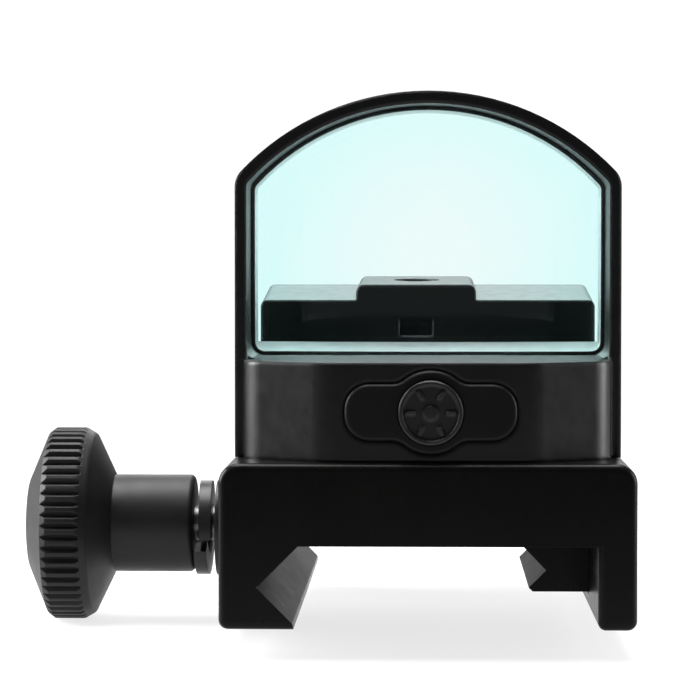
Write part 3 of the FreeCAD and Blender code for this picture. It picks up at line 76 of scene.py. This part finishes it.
# the clamp screw: its axis, its outline as (x, radius) pairs and its thread, in millimetres
STUD_AXIS_Z = -0.45
STUD_START_X = -20.15
STUD_END_X = 11.5
NECK_END_X = -11.0
NECK_RADIUS = 1.2
THREAD_RADIUS = 1.5
THREAD_CHAMFER = 0.5
STUD_OUTLINE = (
    (STUD_START_X, NECK_RADIUS),
    (NECK_END_X, NECK_RADIUS),
    (NECK_END_X + THREAD_CHAMFER, THREAD_RADIUS),
    (STUD_END_X - THREAD_CHAMFER, THREAD_RADIUS),
    (STUD_END_X, NECK_RADIUS),
)
THREAD_PITCH = 0.5
THREAD_DEPTH = 0.27
THREAD_FLANK_SLOPE = 1.25
THREAD_CREST_FLAT = 0.12
STUD_SIDES = 36
ROWS_PER_PITCH = 10

# the emitter's springs: their low ends, lengths, mean radii and wire, in millimetres
WINDAGE_SPRING_END = Vector((-5.2, 20.9, 9.6))
WINDAGE_SPRING_LENGTH = 1.75
WINDAGE_SPRING_RADIUS = 0.95
ELEVATION_SPRING_END = Vector((-0.85, 20.9, 9.85))
ELEVATION_SPRING_LENGTH = 2.2
ELEVATION_SPRING_RADIUS = 1.15
SPRING_TURNS = 3.5
SPRING_ROWS_PER_TURN = 24
SPRING_WIRE_RADIUS = 0.1
SPRING_WIRE_SIDES = 10

# the emitter's ribbon lead: the line along its middle, its section and its bends, in millimetres
LEAD_X = -0.85
LEAD_START_Y = 8.4
LEAD_MIDDLE_Y = 12.6
LEAD_RUN_Z = 9.54
LEAD_RISE_Y = 16.84
LEAD_TOP_Z = 12.19
LEAD_END_Y = 17.98
LEAD_WIDTH = 1.0
LEAD_THICKNESS = 0.12
LEAD_BEND = 0.4
LEAD_BEND_STEPS = 6
LEAD_RISE_STEPS = 4

# the matte parts of the housing, its deck and the hood's tunnel: low and high values in x, y
# and z, in millimetres, and the roughness that they add
DECK = ((-12.3, 12.3), (-18.15, 15.2), (11.4, 11.52))
DECK_ROUGHNESS = 0.27
TUNNEL = ((-11.99, 11.99), (-13.66, 4.0), (11.5, 28.3))
TUNNEL_ROUGHNESS = 0.06

# the coatings of the lens and the emitter window: their middles and how far out they still change
LENS_MIDDLE = Vector((0.5, -5, 18.5)) * MM
LENS_COATING_RADIUS = 13 * MM
WINDOW_MIDDLE = Vector((-0.85, 15, 12.85)) * MM
WINDOW_COATING_RADIUS = 2 * MM

# the polished part of the lens, inside its ground rim: low and high values in x, y and z and
# the arch's axis and radius, in millimetres
LENS_POLISHED = ((-11.5, 11.5), (-20, 20), (12.35, 40))
LENS_ARCH_CENTRE_Z = 12.12
LENS_POLISHED_RADIUS = 15.62
GROUND_ROUGHNESS = 0.6

# the floor, which fades out between two shares of its radius
FLOOR_GAP = 0.05 * MM
FLOOR_RADIUS = 160 * MM
FLOOR_CENTRE_Y = 40 * MM
FLOOR_SIDES = 96
FLOOR_GLOW = 0.85
FLOOR_FADE_START = 0.3
FLOOR_FADE_END = 0.95

# the backdrop: how bright it looks, how much light it gives from in front and from behind, and
# the directions, as y from -1 to 1, between which that light grows and beyond which the lens
# shows it
BACKDROP_BRIGHTNESS = 1.08
LIGHT_FROM_FRONT = 0.12
LIGHT_FROM_BEHIND = 0.55
LIGHT_GROWS_FROM_Y = -0.3
LIGHT_GROWS_TO_Y = 1.0
SEEN_THROUGH_GLASS_FROM_Y = 0.5

# the softboxes: place, point that they face, width and height in millimetres, power in watts
SOFTBOXES = {
    "left_box": ((-320, 40, 130), (-20, 0, 0), (200, 220), 2.8),
    "top_box": ((-30, 60, 380), (0, 0, 0), (300, 260), 3.2),
    "right_box": ((320, 20, 90), (5, 0, 5), (160, 220), 0.9),
    "back_box": ((0, 420, 190), (0, 0, 10), (420, 120), 0.6),
}

# the camera: its place, the direction that it looks in and its focal length in millimetres
CAMERA_PLACE = Vector((-0.075, -181.7, 17.99)) * MM
CAMERA_AIM = Vector((-0.02922, 1, -0.03505))
CAMERA_LENS = 134.63
CAMERA_CLIP_START = 0.01


# ---- node trees ------------------------------------------------------------------------


class Graph:
    """Short ways to add nodes to a node tree."""

    def __init__(self, tree):
        self.nodes = tree.nodes
        self.links = tree.links

    def math(self, operation, *values):
        """A math node; each value is a number or another node's output."""
        node = self.nodes.new("ShaderNodeMath")
        node.operation = operation
        for socket, value in zip(node.inputs, values):
            if isinstance(value, (int, float)):
                socket.default_value = value
            else:
                self.links.new(value, socket)
        return node.outputs[0]

    def split(self, place):
        """The x, y and z of a place or direction."""
        node = self.nodes.new("ShaderNodeSeparateXYZ")
        self.links.new(place, node.inputs[0])
        return node.outputs

    def rescale(self, value, old_range, new_range):
        """A value carried over linearly from one range to another, and held at its ends."""
        node = self.nodes.new("ShaderNodeMapRange")
        for socket, number in zip(node.inputs[1:5], (*old_range, *new_range)):
            socket.default_value = number
        self.links.new(value, node.inputs["Value"])
        return node.outputs["Result"]


class Shader(Graph):
    """A new material and its node tree."""

    def __init__(self, name):
        self.material = bpy.data.materials.new(name)
        self.material.use_nodes = True
        super().__init__(self.material.node_tree)
        self.surface = self.nodes["Principled BSDF"]
        self.place = self.nodes.new("ShaderNodeTexCoord").outputs["Object"]

    def set(self, **values):
        """Constant values on the surface's own sockets."""
        for name, value in values.items():
            socket = name.replace("_", " ").title().replace("Ior", "IOR")
            self.surface.inputs[socket].default_value = value
        return self

    def use(self, socket, output):
        """A node's output as the value of one of the surface's sockets."""
        self.links.new(output, self.surface.inputs[socket])

    def noise(self, scale, detail, roughness=0.55, place=None):
        """Cloudy values around 0.5."""
        texture = self.nodes.new("ShaderNodeTexNoise")
        texture.inputs["Scale"].default_value = scale
        texture.inputs["Detail"].default_value = detail
        texture.inputs["Roughness"].default_value = roughness
        self.links.new(place or self.place, texture.inputs["Vector"])
        return texture.outputs["Fac"]

    def stretched(self, scale):
        """The place, scaled differently along each axis."""
        mapping = self.nodes.new("ShaderNodeMapping")
        mapping.inputs["Scale"].default_value = scale
        self.links.new(self.place, mapping.inputs["Vector"])
        return mapping.outputs["Vector"]

    def distance_from(self, point, place=None):
        """How far the place is from a point."""
        node = self.nodes.new("ShaderNodeVectorMath")
        node.operation = "DISTANCE"
        node.inputs[1].default_value = point
        self.links.new(place or self.place, node.inputs[0])
        return node.outputs["Value"]

    def inside(self, spans):
        """1 between the low and high value of each axis, in millimetres, and 0 elsewhere."""
        within = 1.0
        for coordinate, (low, high) in zip(self.split(self.place), spans):
            middle = (low + high) / 2 * MM
            half = (high - low) / 2 * MM
            within = self.math("MULTIPLY", within, self.math("COMPARE", coordinate, middle, half))
        return within

    def ramp(self, value, low_stop, high_stop):
        """A value turned into a colour between two (value, colour) stops."""
        node = self.nodes.new("ShaderNodeValToRGB")
        for element, (position, colour) in zip(node.color_ramp.elements, (low_stop, high_stop)):
            element.position = position
            element.color = colour
        self.links.new(value, node.inputs["Fac"])
        return node.outputs["Color"]

    def soft_edges(self, radius):
        """The surface's direction with its hard edges rounded off."""
        node = self.nodes.new("ShaderNodeBevel")
        node.samples = EDGE_SAMPLES
        node.inputs["Radius"].default_value = radius
        return node.outputs["Normal"]

    def bump(self, height, distance, after):
        """The surface's direction with fine relief on top of the direction before it."""
        node = self.nodes.new("ShaderNodeBump")
        node.inputs["Distance"].default_value = distance
        self.links.new(height, node.inputs["Height"])
        self.links.new(after, node.inputs["Normal"])
        return node.outputs["Normal"]


# ---- materials -------------------------------------------------------------------------


def grey(level, warmth=0.0):
    """A near-neutral colour; warmth above 0 leans to brown and below 0 to blue."""
    return (level * (1 + warmth), level, level * (1 - warmth), 1)


def scaled(colour, factor):
    """A colour made lighter or darker."""
    return tuple(min(1, channel * factor) for channel in colour[:3]) + (1,)


def anodised(name, level, roughness, shine, warmth, edge_round, matte_parts=()):
    """Fine bead-blasted and anodised metal with faint clouding and handling marks."""
    shader = Shader(name).set(specular_ior_level=shine)
    cloud = shader.noise(scale=220, detail=4)
    grain = shader.noise(scale=GRAIN, detail=2)
    smudge = shader.noise(scale=900, detail=6, roughness=0.7)
    shader.use("Base Color", shader.ramp(
        cloud, (0.3, grey(level * 0.8, warmth)), (0.7, grey(level * 1.25, warmth))))
    finish = shader.rescale(smudge, (0.35, 0.7), (roughness - 0.03, roughness + 0.04))
    for spans, added_roughness in matte_parts:
        finish = shader.math("MULTIPLY_ADD", shader.inside(spans), added_roughness, finish)
    shader.use("Roughness", finish)
    shader.use("Normal", shader.bump(
        grain, distance=0.0018 * MM, after=shader.soft_edges(edge_round)))
    return shader.material


def turned_metal(name, level, roughness):
    """Turned metal: fine rings round the X axis under a matte finish."""
    shader = Shader(name).set(specular_ior_level=0.26)
    rings = shader.noise(scale=1.0, detail=2, place=shader.stretched(scale=(26000, 300, 300)))
    grain = shader.noise(scale=GRAIN * 0.8, detail=2)
    cloud = shader.noise(scale=500, detail=4)
    shader.use("Base Color", shader.ramp(cloud, (0.3, grey(level * 0.78)), (0.72, grey(level * 1.3))))
    shader.use("Roughness", shader.rescale(cloud, (0.3, 0.75), (roughness - 0.05, roughness + 0.08)))
    ringed = shader.bump(rings, distance=0.002 * MM, after=shader.soft_edges(EDGE_ROUND))
    shader.use("Normal", shader.bump(grain, distance=0.003 * MM, after=ringed))
    return shader.material


def metal(name, colour, roughness):
    """Bare metal with fine drawn lines."""
    shader = Shader(name).set(metallic=1.0)
    lines = shader.noise(scale=1.0, detail=3, place=shader.stretched(scale=(4000, 30000, 4000)))
    shader.use("Base Color", shader.ramp(lines, (0.3, scaled(colour, 0.82)), (0.7, colour)))
    shader.use("Roughness", shader.rescale(lines, (0.3, 0.7), (roughness, roughness + 0.12)))
    shader.use("Normal", shader.bump(
        lines, distance=0.001 * MM, after=shader.soft_edges(FINE_EDGE_ROUND)))
    return shader.material


def moulded(name, colour, roughness, texture_size=0.08, height=0.004, shine=0.4,
            edge_round=FINE_EDGE_ROUND):
    """Moulded plastic or rubber with a fine spark-eroded texture, its sizes in millimetres."""
    shader = Shader(name).set(specular_ior_level=shine)
    cloud = shader.noise(scale=400, detail=3)
    texture = shader.noise(scale=1 / (texture_size * MM), detail=4, roughness=0.65)
    shader.use("Base Color", shader.ramp(cloud, (0.35, colour), (0.7, scaled(colour, 1.25))))
    shader.use("Roughness", shader.rescale(texture, (0.3, 0.7), (roughness - 0.06, roughness + 0.06)))
    shader.use("Normal", shader.bump(
        texture, distance=height * MM, after=shader.soft_edges(edge_round)))
    return shader.material


def rim_roughness(shader):
    """Roughness of the lens: none on its polished part and satin on its ground rim."""
    split = shader.split(shader.place)
    flat = shader.nodes.new("ShaderNodeCombineXYZ")
    shader.links.new(split["X"], flat.inputs["X"])
    shader.links.new(split["Z"], flat.inputs["Z"])
    reach = shader.distance_from((0, 0, LENS_ARCH_CENTRE_Z * MM), flat.outputs[0])
    under_arch = shader.math("LESS_THAN", reach, LENS_POLISHED_RADIUS * MM)
    polished = shader.math("MULTIPLY", shader.inside(LENS_POLISHED), under_arch)
    return shader.rescale(polished, (0, 1), (GROUND_ROUGHNESS, 0))


def coated_glass(name, centre_colour, edge_colour, middle, radius, has_ground_rim):
    """Clear glass whose coating tints what is seen through it, more so towards its edge."""
    shader = Shader(name).set(roughness=0.0, ior=1.46, transmission_weight=1.0, specular_ior_level=0.08)
    uneven = shader.noise(scale=260, detail=2)
    haze = shader.math("MULTIPLY_ADD", uneven, 0.3 * radius, shader.distance_from(middle))
    share = shader.rescale(haze, (0, radius), (0, 1))
    shader.use("Base Color", shader.ramp(share, (0.35, centre_colour), (1.0, edge_colour)))
    if has_ground_rim:
        shader.use("Roughness", rim_roughness(shader))
    return shader.material


# each material's kind and values
MATERIALS = {
    "housing_black": (anodised, dict(
        level=0.005, roughness=0.32, shine=0.42, warmth=-0.04, edge_round=HOUSING_EDGE_ROUND,
        matte_parts=((DECK, DECK_ROUGHNESS), (TUNNEL, TUNNEL_ROUGHNESS)))),
    "mount_black": (anodised, dict(
        level=0.004, roughness=0.30, shine=0.10, warmth=0.05, edge_round=MOUNT_EDGE_ROUND)),
    "knob_black": (turned_metal, dict(level=0.010, roughness=0.48)),
    "black_steel": (turned_metal, dict(level=0.016, roughness=0.36)),
    "screw_steel": (metal, dict(colour=(0.20, 0.20, 0.21, 1), roughness=0.30)),
    "bright_steel": (metal, dict(colour=(0.62, 0.62, 0.63, 1), roughness=0.25)),
    "cell_steel": (metal, dict(colour=(0.66, 0.65, 0.62, 1), roughness=0.22)),
    "contact_gold": (metal, dict(colour=(0.85, 0.62, 0.28, 1), roughness=0.25)),
    "brass": (metal, dict(colour=(0.62, 0.46, 0.2, 1), roughness=0.3)),
    "lens_glass": (coated_glass, dict(
        centre_colour=(0.82, 0.955, 0.94, 1), edge_colour=(0.68, 0.965, 0.955, 1),
        middle=LENS_MIDDLE, radius=LENS_COATING_RADIUS, has_ground_rim=True)),
    "window_glass": (coated_glass, dict(
        centre_colour=(0.05, 0.03, 0.03, 1), edge_colour=(0.03, 0.02, 0.02, 1),
        middle=WINDOW_MIDDLE, radius=WINDOW_COATING_RADIUS, has_ground_rim=False)),
    "bond_black": (moulded, dict(colour=(0.006, 0.006, 0.006, 1), roughness=0.22, texture_size=0.4)),
    # the lens bond's bead: its light grey is partly painted highlight, standing in for the lit band at
    # the lens's edge
    "bond_grey": (moulded, dict(colour=(0.13, 0.14, 0.14, 1), roughness=0.25, texture_size=0.4)),
    "pad_rubber": (moulded, dict(
        colour=(0.006, 0.006, 0.007, 1), roughness=0.45, texture_size=0.1, height=0.003, shine=0.16)),
    "cap_rubber": (moulded, dict(
        colour=(0.007, 0.007, 0.008, 1), roughness=0.36, texture_size=0.1, height=0.003, shine=0.45,
        edge_round=CAP_EDGE_ROUND)),
    "gasket": (moulded, dict(colour=(0.02, 0.02, 0.02, 1), roughness=0.7)),
    "plastic": (moulded, dict(colour=(0.02, 0.02, 0.022, 1), roughness=0.5)),
    "board": (moulded, dict(colour=(0.01, 0.11, 0.05, 1), roughness=0.35)),
    "foam": (moulded, dict(colour=(0.6, 0.58, 0.54, 1), roughness=0.9, texture_size=0.2, height=0.02)),
    "led": (moulded, dict(colour=(0.6, 0.12, 0.1, 1), roughness=0.15, texture_size=0.5, height=0.001)),
    "amber": (moulded, dict(colour=(0.45, 0.19, 0.03, 1), roughness=0.3, texture_size=0.3, height=0.001)),
}

# the CAD nodes that each material covers
NODE_MATERIALS = {
    "housing_black": ["housing", "emitter_cover_plate"],
    "mount_black": ["mount_base", "clamp_jaw"],
    "knob_black": ["thumb_screw_knob"],
    "black_steel": ["lock_washer", "flat_washer", "cover_screws", "windage_screw", "elevation_screw",
                    "body_screws"],
    "screw_steel": ["clamp_screw_stud"],
    "bright_steel": ["windage_clip", "windage_spring", "elevation_spring", "locating_pins"],
    "cell_steel": ["battery"],
    "contact_gold": ["battery_centre_contact", "battery_side_contact"],
    "brass": ["windage_carriage", "emitter_carrier"],
    "lens_glass": ["lens"],
    "window_glass": ["emitter_window"],
    "bond_black": ["emitter_mask"],
    "bond_grey": ["lens_bond"],
    "pad_rubber": ["button_pad"],
    "cap_rubber": ["button_cap"],
    "gasket": ["base_gasket"],
    "plastic": ["switch_body", "switch_plunger", "board_chips"],
    "board": ["circuit_board"],
    "foam": ["battery_insulator"],
    "led": ["emitter_led"],
    "amber": ["flex_lead"],
}


def dress_nodes(materials):
    """Give every CAD node its material."""
    for name, node_names in NODE_MATERIALS.items():
        for node_name in node_names:
            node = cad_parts[node_name]
            node.data.materials.clear()
            node.data.materials.append(materials[name])


# ---- the clamp screw with its thread ---------------------------------------------------


def skin(name, rings, material):
    """A smooth piece through rings of points, closed at both ends."""
    sides = len(rings[0])
    faces = []
    for row in range(len(rings) - 1):
        low = row * sides
        high = low + sides
        for side in range(sides):
            after = (side + 1) % sides
            faces.append((low + side, low + after, high + after, high + side))
    faces.append(tuple(reversed(range(sides))))
    faces.append(tuple(range((len(rings) - 1) * sides, len(rings) * sides)))
    mesh = bpy.data.meshes.new(name)
    mesh.from_pydata([point * MM for ring in rings for point in ring], [], faces)
    mesh.polygons.foreach_set("use_smooth", [True] * (len(faces) - 2) + [False] * 2)
    mesh.materials.append(material)
    piece = bpy.data.objects.new(name, mesh)
    bpy.context.collection.objects.link(piece)
    return piece


def outline_radius(x):
    """The radius of the clamp screw's plain outline at x, by straight lines between its points."""
    for (x0, r0), (x1, r1) in zip(STUD_OUTLINE, STUD_OUTLINE[1:]):
        if x <= x1:
            return r0 + (r1 - r0) * (x - x0) / (x1 - x0)
    return NECK_RADIUS


def thread_radius(x, turn):
    """The radius of the endless thread at x and at that share of a turn."""
    along = (x / THREAD_PITCH + turn) % 1
    from_crest = abs(2 * along - 1)
    depth_share = min(1, max(0, THREAD_FLANK_SLOPE * from_crest - THREAD_CREST_FLAT))
    return THREAD_RADIUS - THREAD_DEPTH * depth_share


def make_threaded_stud(material):
    """The clamp screw with a real helical thread in place of the plain one."""
    length = STUD_END_X - STUD_START_X
    row_count = round(length / THREAD_PITCH * ROWS_PER_PITCH)
    rings = []
    for row in range(row_count + 1):
        x = STUD_START_X + length * row / row_count
        ring = []
        for side in range(STUD_SIDES):
            turn = side / STUD_SIDES
            radius = outline_radius(x)
            if x >= NECK_END_X:
                radius = min(radius, thread_radius(x, turn))
            angle = 2 * math.pi * turn
            ring.append(Vector((x, radius * math.cos(angle), STUD_AXIS_Z + radius * math.sin(angle))))
        rings.append(ring)
    stud = skin("clamp_screw_thread", rings, material)
    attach(stud, "thumb_screw")
    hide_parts("clamp_screw_stud")


# ---- the emitter's springs and lead ----------------------------------------------------


def make_spring(name, node_name, low_end, along, across, length, radius, material):
    """A coil spring of round wire that starts at low_end and runs along a direction."""
    up = along.cross(across)
    row_count = round(SPRING_TURNS * SPRING_ROWS_PER_TURN)
    rings = []
    for row in range(row_count + 1):
        share = row / row_count
        angle = 2 * math.pi * SPRING_TURNS * share
        outward = across * math.cos(angle) + up * math.sin(angle)
        centre = low_end + along * (length * share) + outward * radius
        ring = []
        for side in range(SPRING_WIRE_SIDES):
            around = 2 * math.pi * side / SPRING_WIRE_SIDES
            from_centre = outward * math.cos(around) - along * math.sin(around)
            ring.append(centre + from_centre * SPRING_WIRE_RADIUS)
        rings.append(ring)
    spring = skin(name, rings, material)
    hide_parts(node_name)
    return spring


def make_springs(material):
    """The two springs, each between its seat and the body that it pushes."""
    spring = make_spring("windage_coil", "windage_spring", WINDAGE_SPRING_END, X_AXIS, Y_AXIS,
                         WINDAGE_SPRING_LENGTH, WINDAGE_SPRING_RADIUS, material)
    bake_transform(spring)
    spring = make_spring("elevation_coil", "elevation_spring", ELEVATION_SPRING_END, Z_AXIS, X_AXIS,
                         ELEVATION_SPRING_LENGTH, ELEVATION_SPRING_RADIUS, material)
    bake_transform(spring)


def make_ribbon(name, path, material):
    """A thin flat ribbon whose middle line runs through path, as (y, z) pairs."""
    across = Vector((LEAD_WIDTH / 2, 0, 0))
    rings = []
    for index, (y, z) in enumerate(path):
        y0, z0 = path[max(index - 1, 0)]
        y1, z1 = path[min(index + 1, len(path) - 1)]
        slope = Vector((0, y1 - y0, z1 - z0)).normalized()
        raised = Vector((0, -slope.z, slope.y)) * (LEAD_THICKNESS / 2)
        middle = Vector((LEAD_X, y, z))
        rings.append([middle + across + raised, middle + across - raised,
                      middle - across - raised, middle - across + raised])
    ribbon = skin(name, rings, material)
    ribbon.data.polygons.foreach_set("use_smooth", [False] * len(ribbon.data.polygons))
    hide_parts("flex_lead")
    return ribbon


def bend_points(centre_y, centre_z, start_angle, end_angle):
    """Points round a bend of the lead, from one angle to another."""
    points = []
    for step in range(LEAD_BEND_STEPS + 1):
        angle = math.radians(start_angle + (end_angle - start_angle) * step / LEAD_BEND_STEPS)
        points.append((centre_y + LEAD_BEND * math.cos(angle), centre_z + LEAD_BEND * math.sin(angle)))
    return points


def make_lead(material):
    """The emitter's ribbon lead, made as a low run and a rise."""
    run_end_y = LEAD_RISE_Y - LEAD_BEND
    first_bend = bend_points(run_end_y, LEAD_RUN_Z + LEAD_BEND, -90, 0)
    run_path = [(LEAD_START_Y, LEAD_RUN_Z), (LEAD_MIDDLE_Y, LEAD_RUN_Z), *first_bend]
    run = make_ribbon("lead_run", run_path, material)
    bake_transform(run)

    last_bend = bend_points(LEAD_RISE_Y + LEAD_BEND, LEAD_TOP_Z - LEAD_BEND, 180, 90)
    low_z = first_bend[-1][1]
    high_z = last_bend[0][1]
    rise_path = [first_bend[-1]]
    for step in range(1, LEAD_RISE_STEPS):
        rise_path.append((LEAD_RISE_Y, low_z + (high_z - low_z) * step / LEAD_RISE_STEPS))
    rise_path += [*last_bend, (LEAD_END_Y, LEAD_TOP_Z)]
    rise = make_ribbon("lead_rise", rise_path, material)
    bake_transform(rise)


# ---- stage, light and camera -----------------------------------------------------------


def make_floor():
    """A pale disc under the sight that glows faintly and fades out into the backdrop."""
    place = (0, FLOOR_CENTRE_Y, cad_box[0][2] - FLOOR_GAP)
    bpy.ops.mesh.primitive_circle_add(vertices=FLOOR_SIDES, radius=FLOOR_RADIUS, fill_type="NGON",
                                      location=place)
    floor = bpy.context.object
    floor.name = "floor"
    shader = Shader("floor_paper").set(
        roughness=0.85, base_color=grey(0.25), emission_color=grey(0.9), emission_strength=FLOOR_GLOW)
    reach = shader.distance_from((0, 0, 0))
    fade = (FLOOR_RADIUS * FLOOR_FADE_START, FLOOR_RADIUS * FLOOR_FADE_END)
    shader.use("Alpha", shader.rescale(reach, fade, (1, 0)))
    floor.data.materials.append(shader.material)


def make_world():
    """A white backdrop, seen directly and through the lens, and softer light from all round."""
    world = bpy.data.worlds.new("studio")
    bpy.context.scene.world = world
    world.use_nodes = True
    graph = Graph(world.node_tree)
    graph.nodes.clear()
    direction = graph.split(graph.nodes.new("ShaderNodeTexCoord").outputs["Generated"])
    brightness = graph.rescale(direction["Y"], (LIGHT_GROWS_FROM_Y, LIGHT_GROWS_TO_Y),
                               (LIGHT_FROM_FRONT, LIGHT_FROM_BEHIND))
    lighting = graph.nodes.new("ShaderNodeBackground")
    lighting.inputs["Color"].default_value = grey(0.8)
    graph.links.new(brightness, lighting.inputs["Strength"])
    backdrop = graph.nodes.new("ShaderNodeBackground")
    backdrop.inputs["Color"].default_value = grey(1)
    backdrop.inputs["Strength"].default_value = BACKDROP_BRIGHTNESS
    rays = graph.nodes.new("ShaderNodeLightPath").outputs
    behind = graph.math("GREATER_THAN", direction["Y"], SEEN_THROUGH_GLASS_FROM_Y)
    through_glass = graph.math("MULTIPLY", rays["Is Transmission Ray"], behind)
    mix = graph.nodes.new("ShaderNodeMixShader")
    graph.links.new(graph.math("MAXIMUM", rays["Is Camera Ray"], through_glass), mix.inputs["Fac"])
    graph.links.new(lighting.outputs[0], mix.inputs[1])
    graph.links.new(backdrop.outputs[0], mix.inputs[2])
    graph.links.new(mix.outputs[0], graph.nodes.new("ShaderNodeOutputWorld").inputs["Surface"])


def make_lights():
    """The softboxes, each turned to the point that it faces."""
    for name, (place, aim, (width, height), watts) in SOFTBOXES.items():
        light = bpy.data.lights.new(name, "AREA")
        light.shape = "RECTANGLE"
        light.size = width * MM
        light.size_y = height * MM
        light.energy = watts
        lamp = bpy.data.objects.new(name, light)
        bpy.context.collection.objects.link(lamp)
        lamp.location = Vector(place) * MM
        lamp.rotation_euler = (Vector(aim) * MM - lamp.location).to_track_quat("-Z", "Y").to_euler()


def make_camera():
    """The camera, level with the hood and looking slightly down at the sight's front."""
    camera = bpy.data.objects.new("camera", bpy.data.cameras.new("camera"))
    bpy.context.collection.objects.link(camera)
    camera.data.lens = CAMERA_LENS
    camera.data.clip_start = CAMERA_CLIP_START
    camera.location = CAMERA_PLACE
    camera.rotation_euler = CAMERA_AIM.to_track_quat("-Z", "Y").to_euler()
    bpy.context.scene.camera = camera


materials = {name: make(name, **values) for name, (make, values) in MATERIALS.items()}
dress_nodes(materials)
make_threaded_stud(materials["screw_steel"])
make_springs(materials["bright_steel"])
make_lead(materials["amber"])
make_floor()
make_world()
make_lights()
make_camera()
bpy.context.scene.view_settings.view_transform = "Standard"
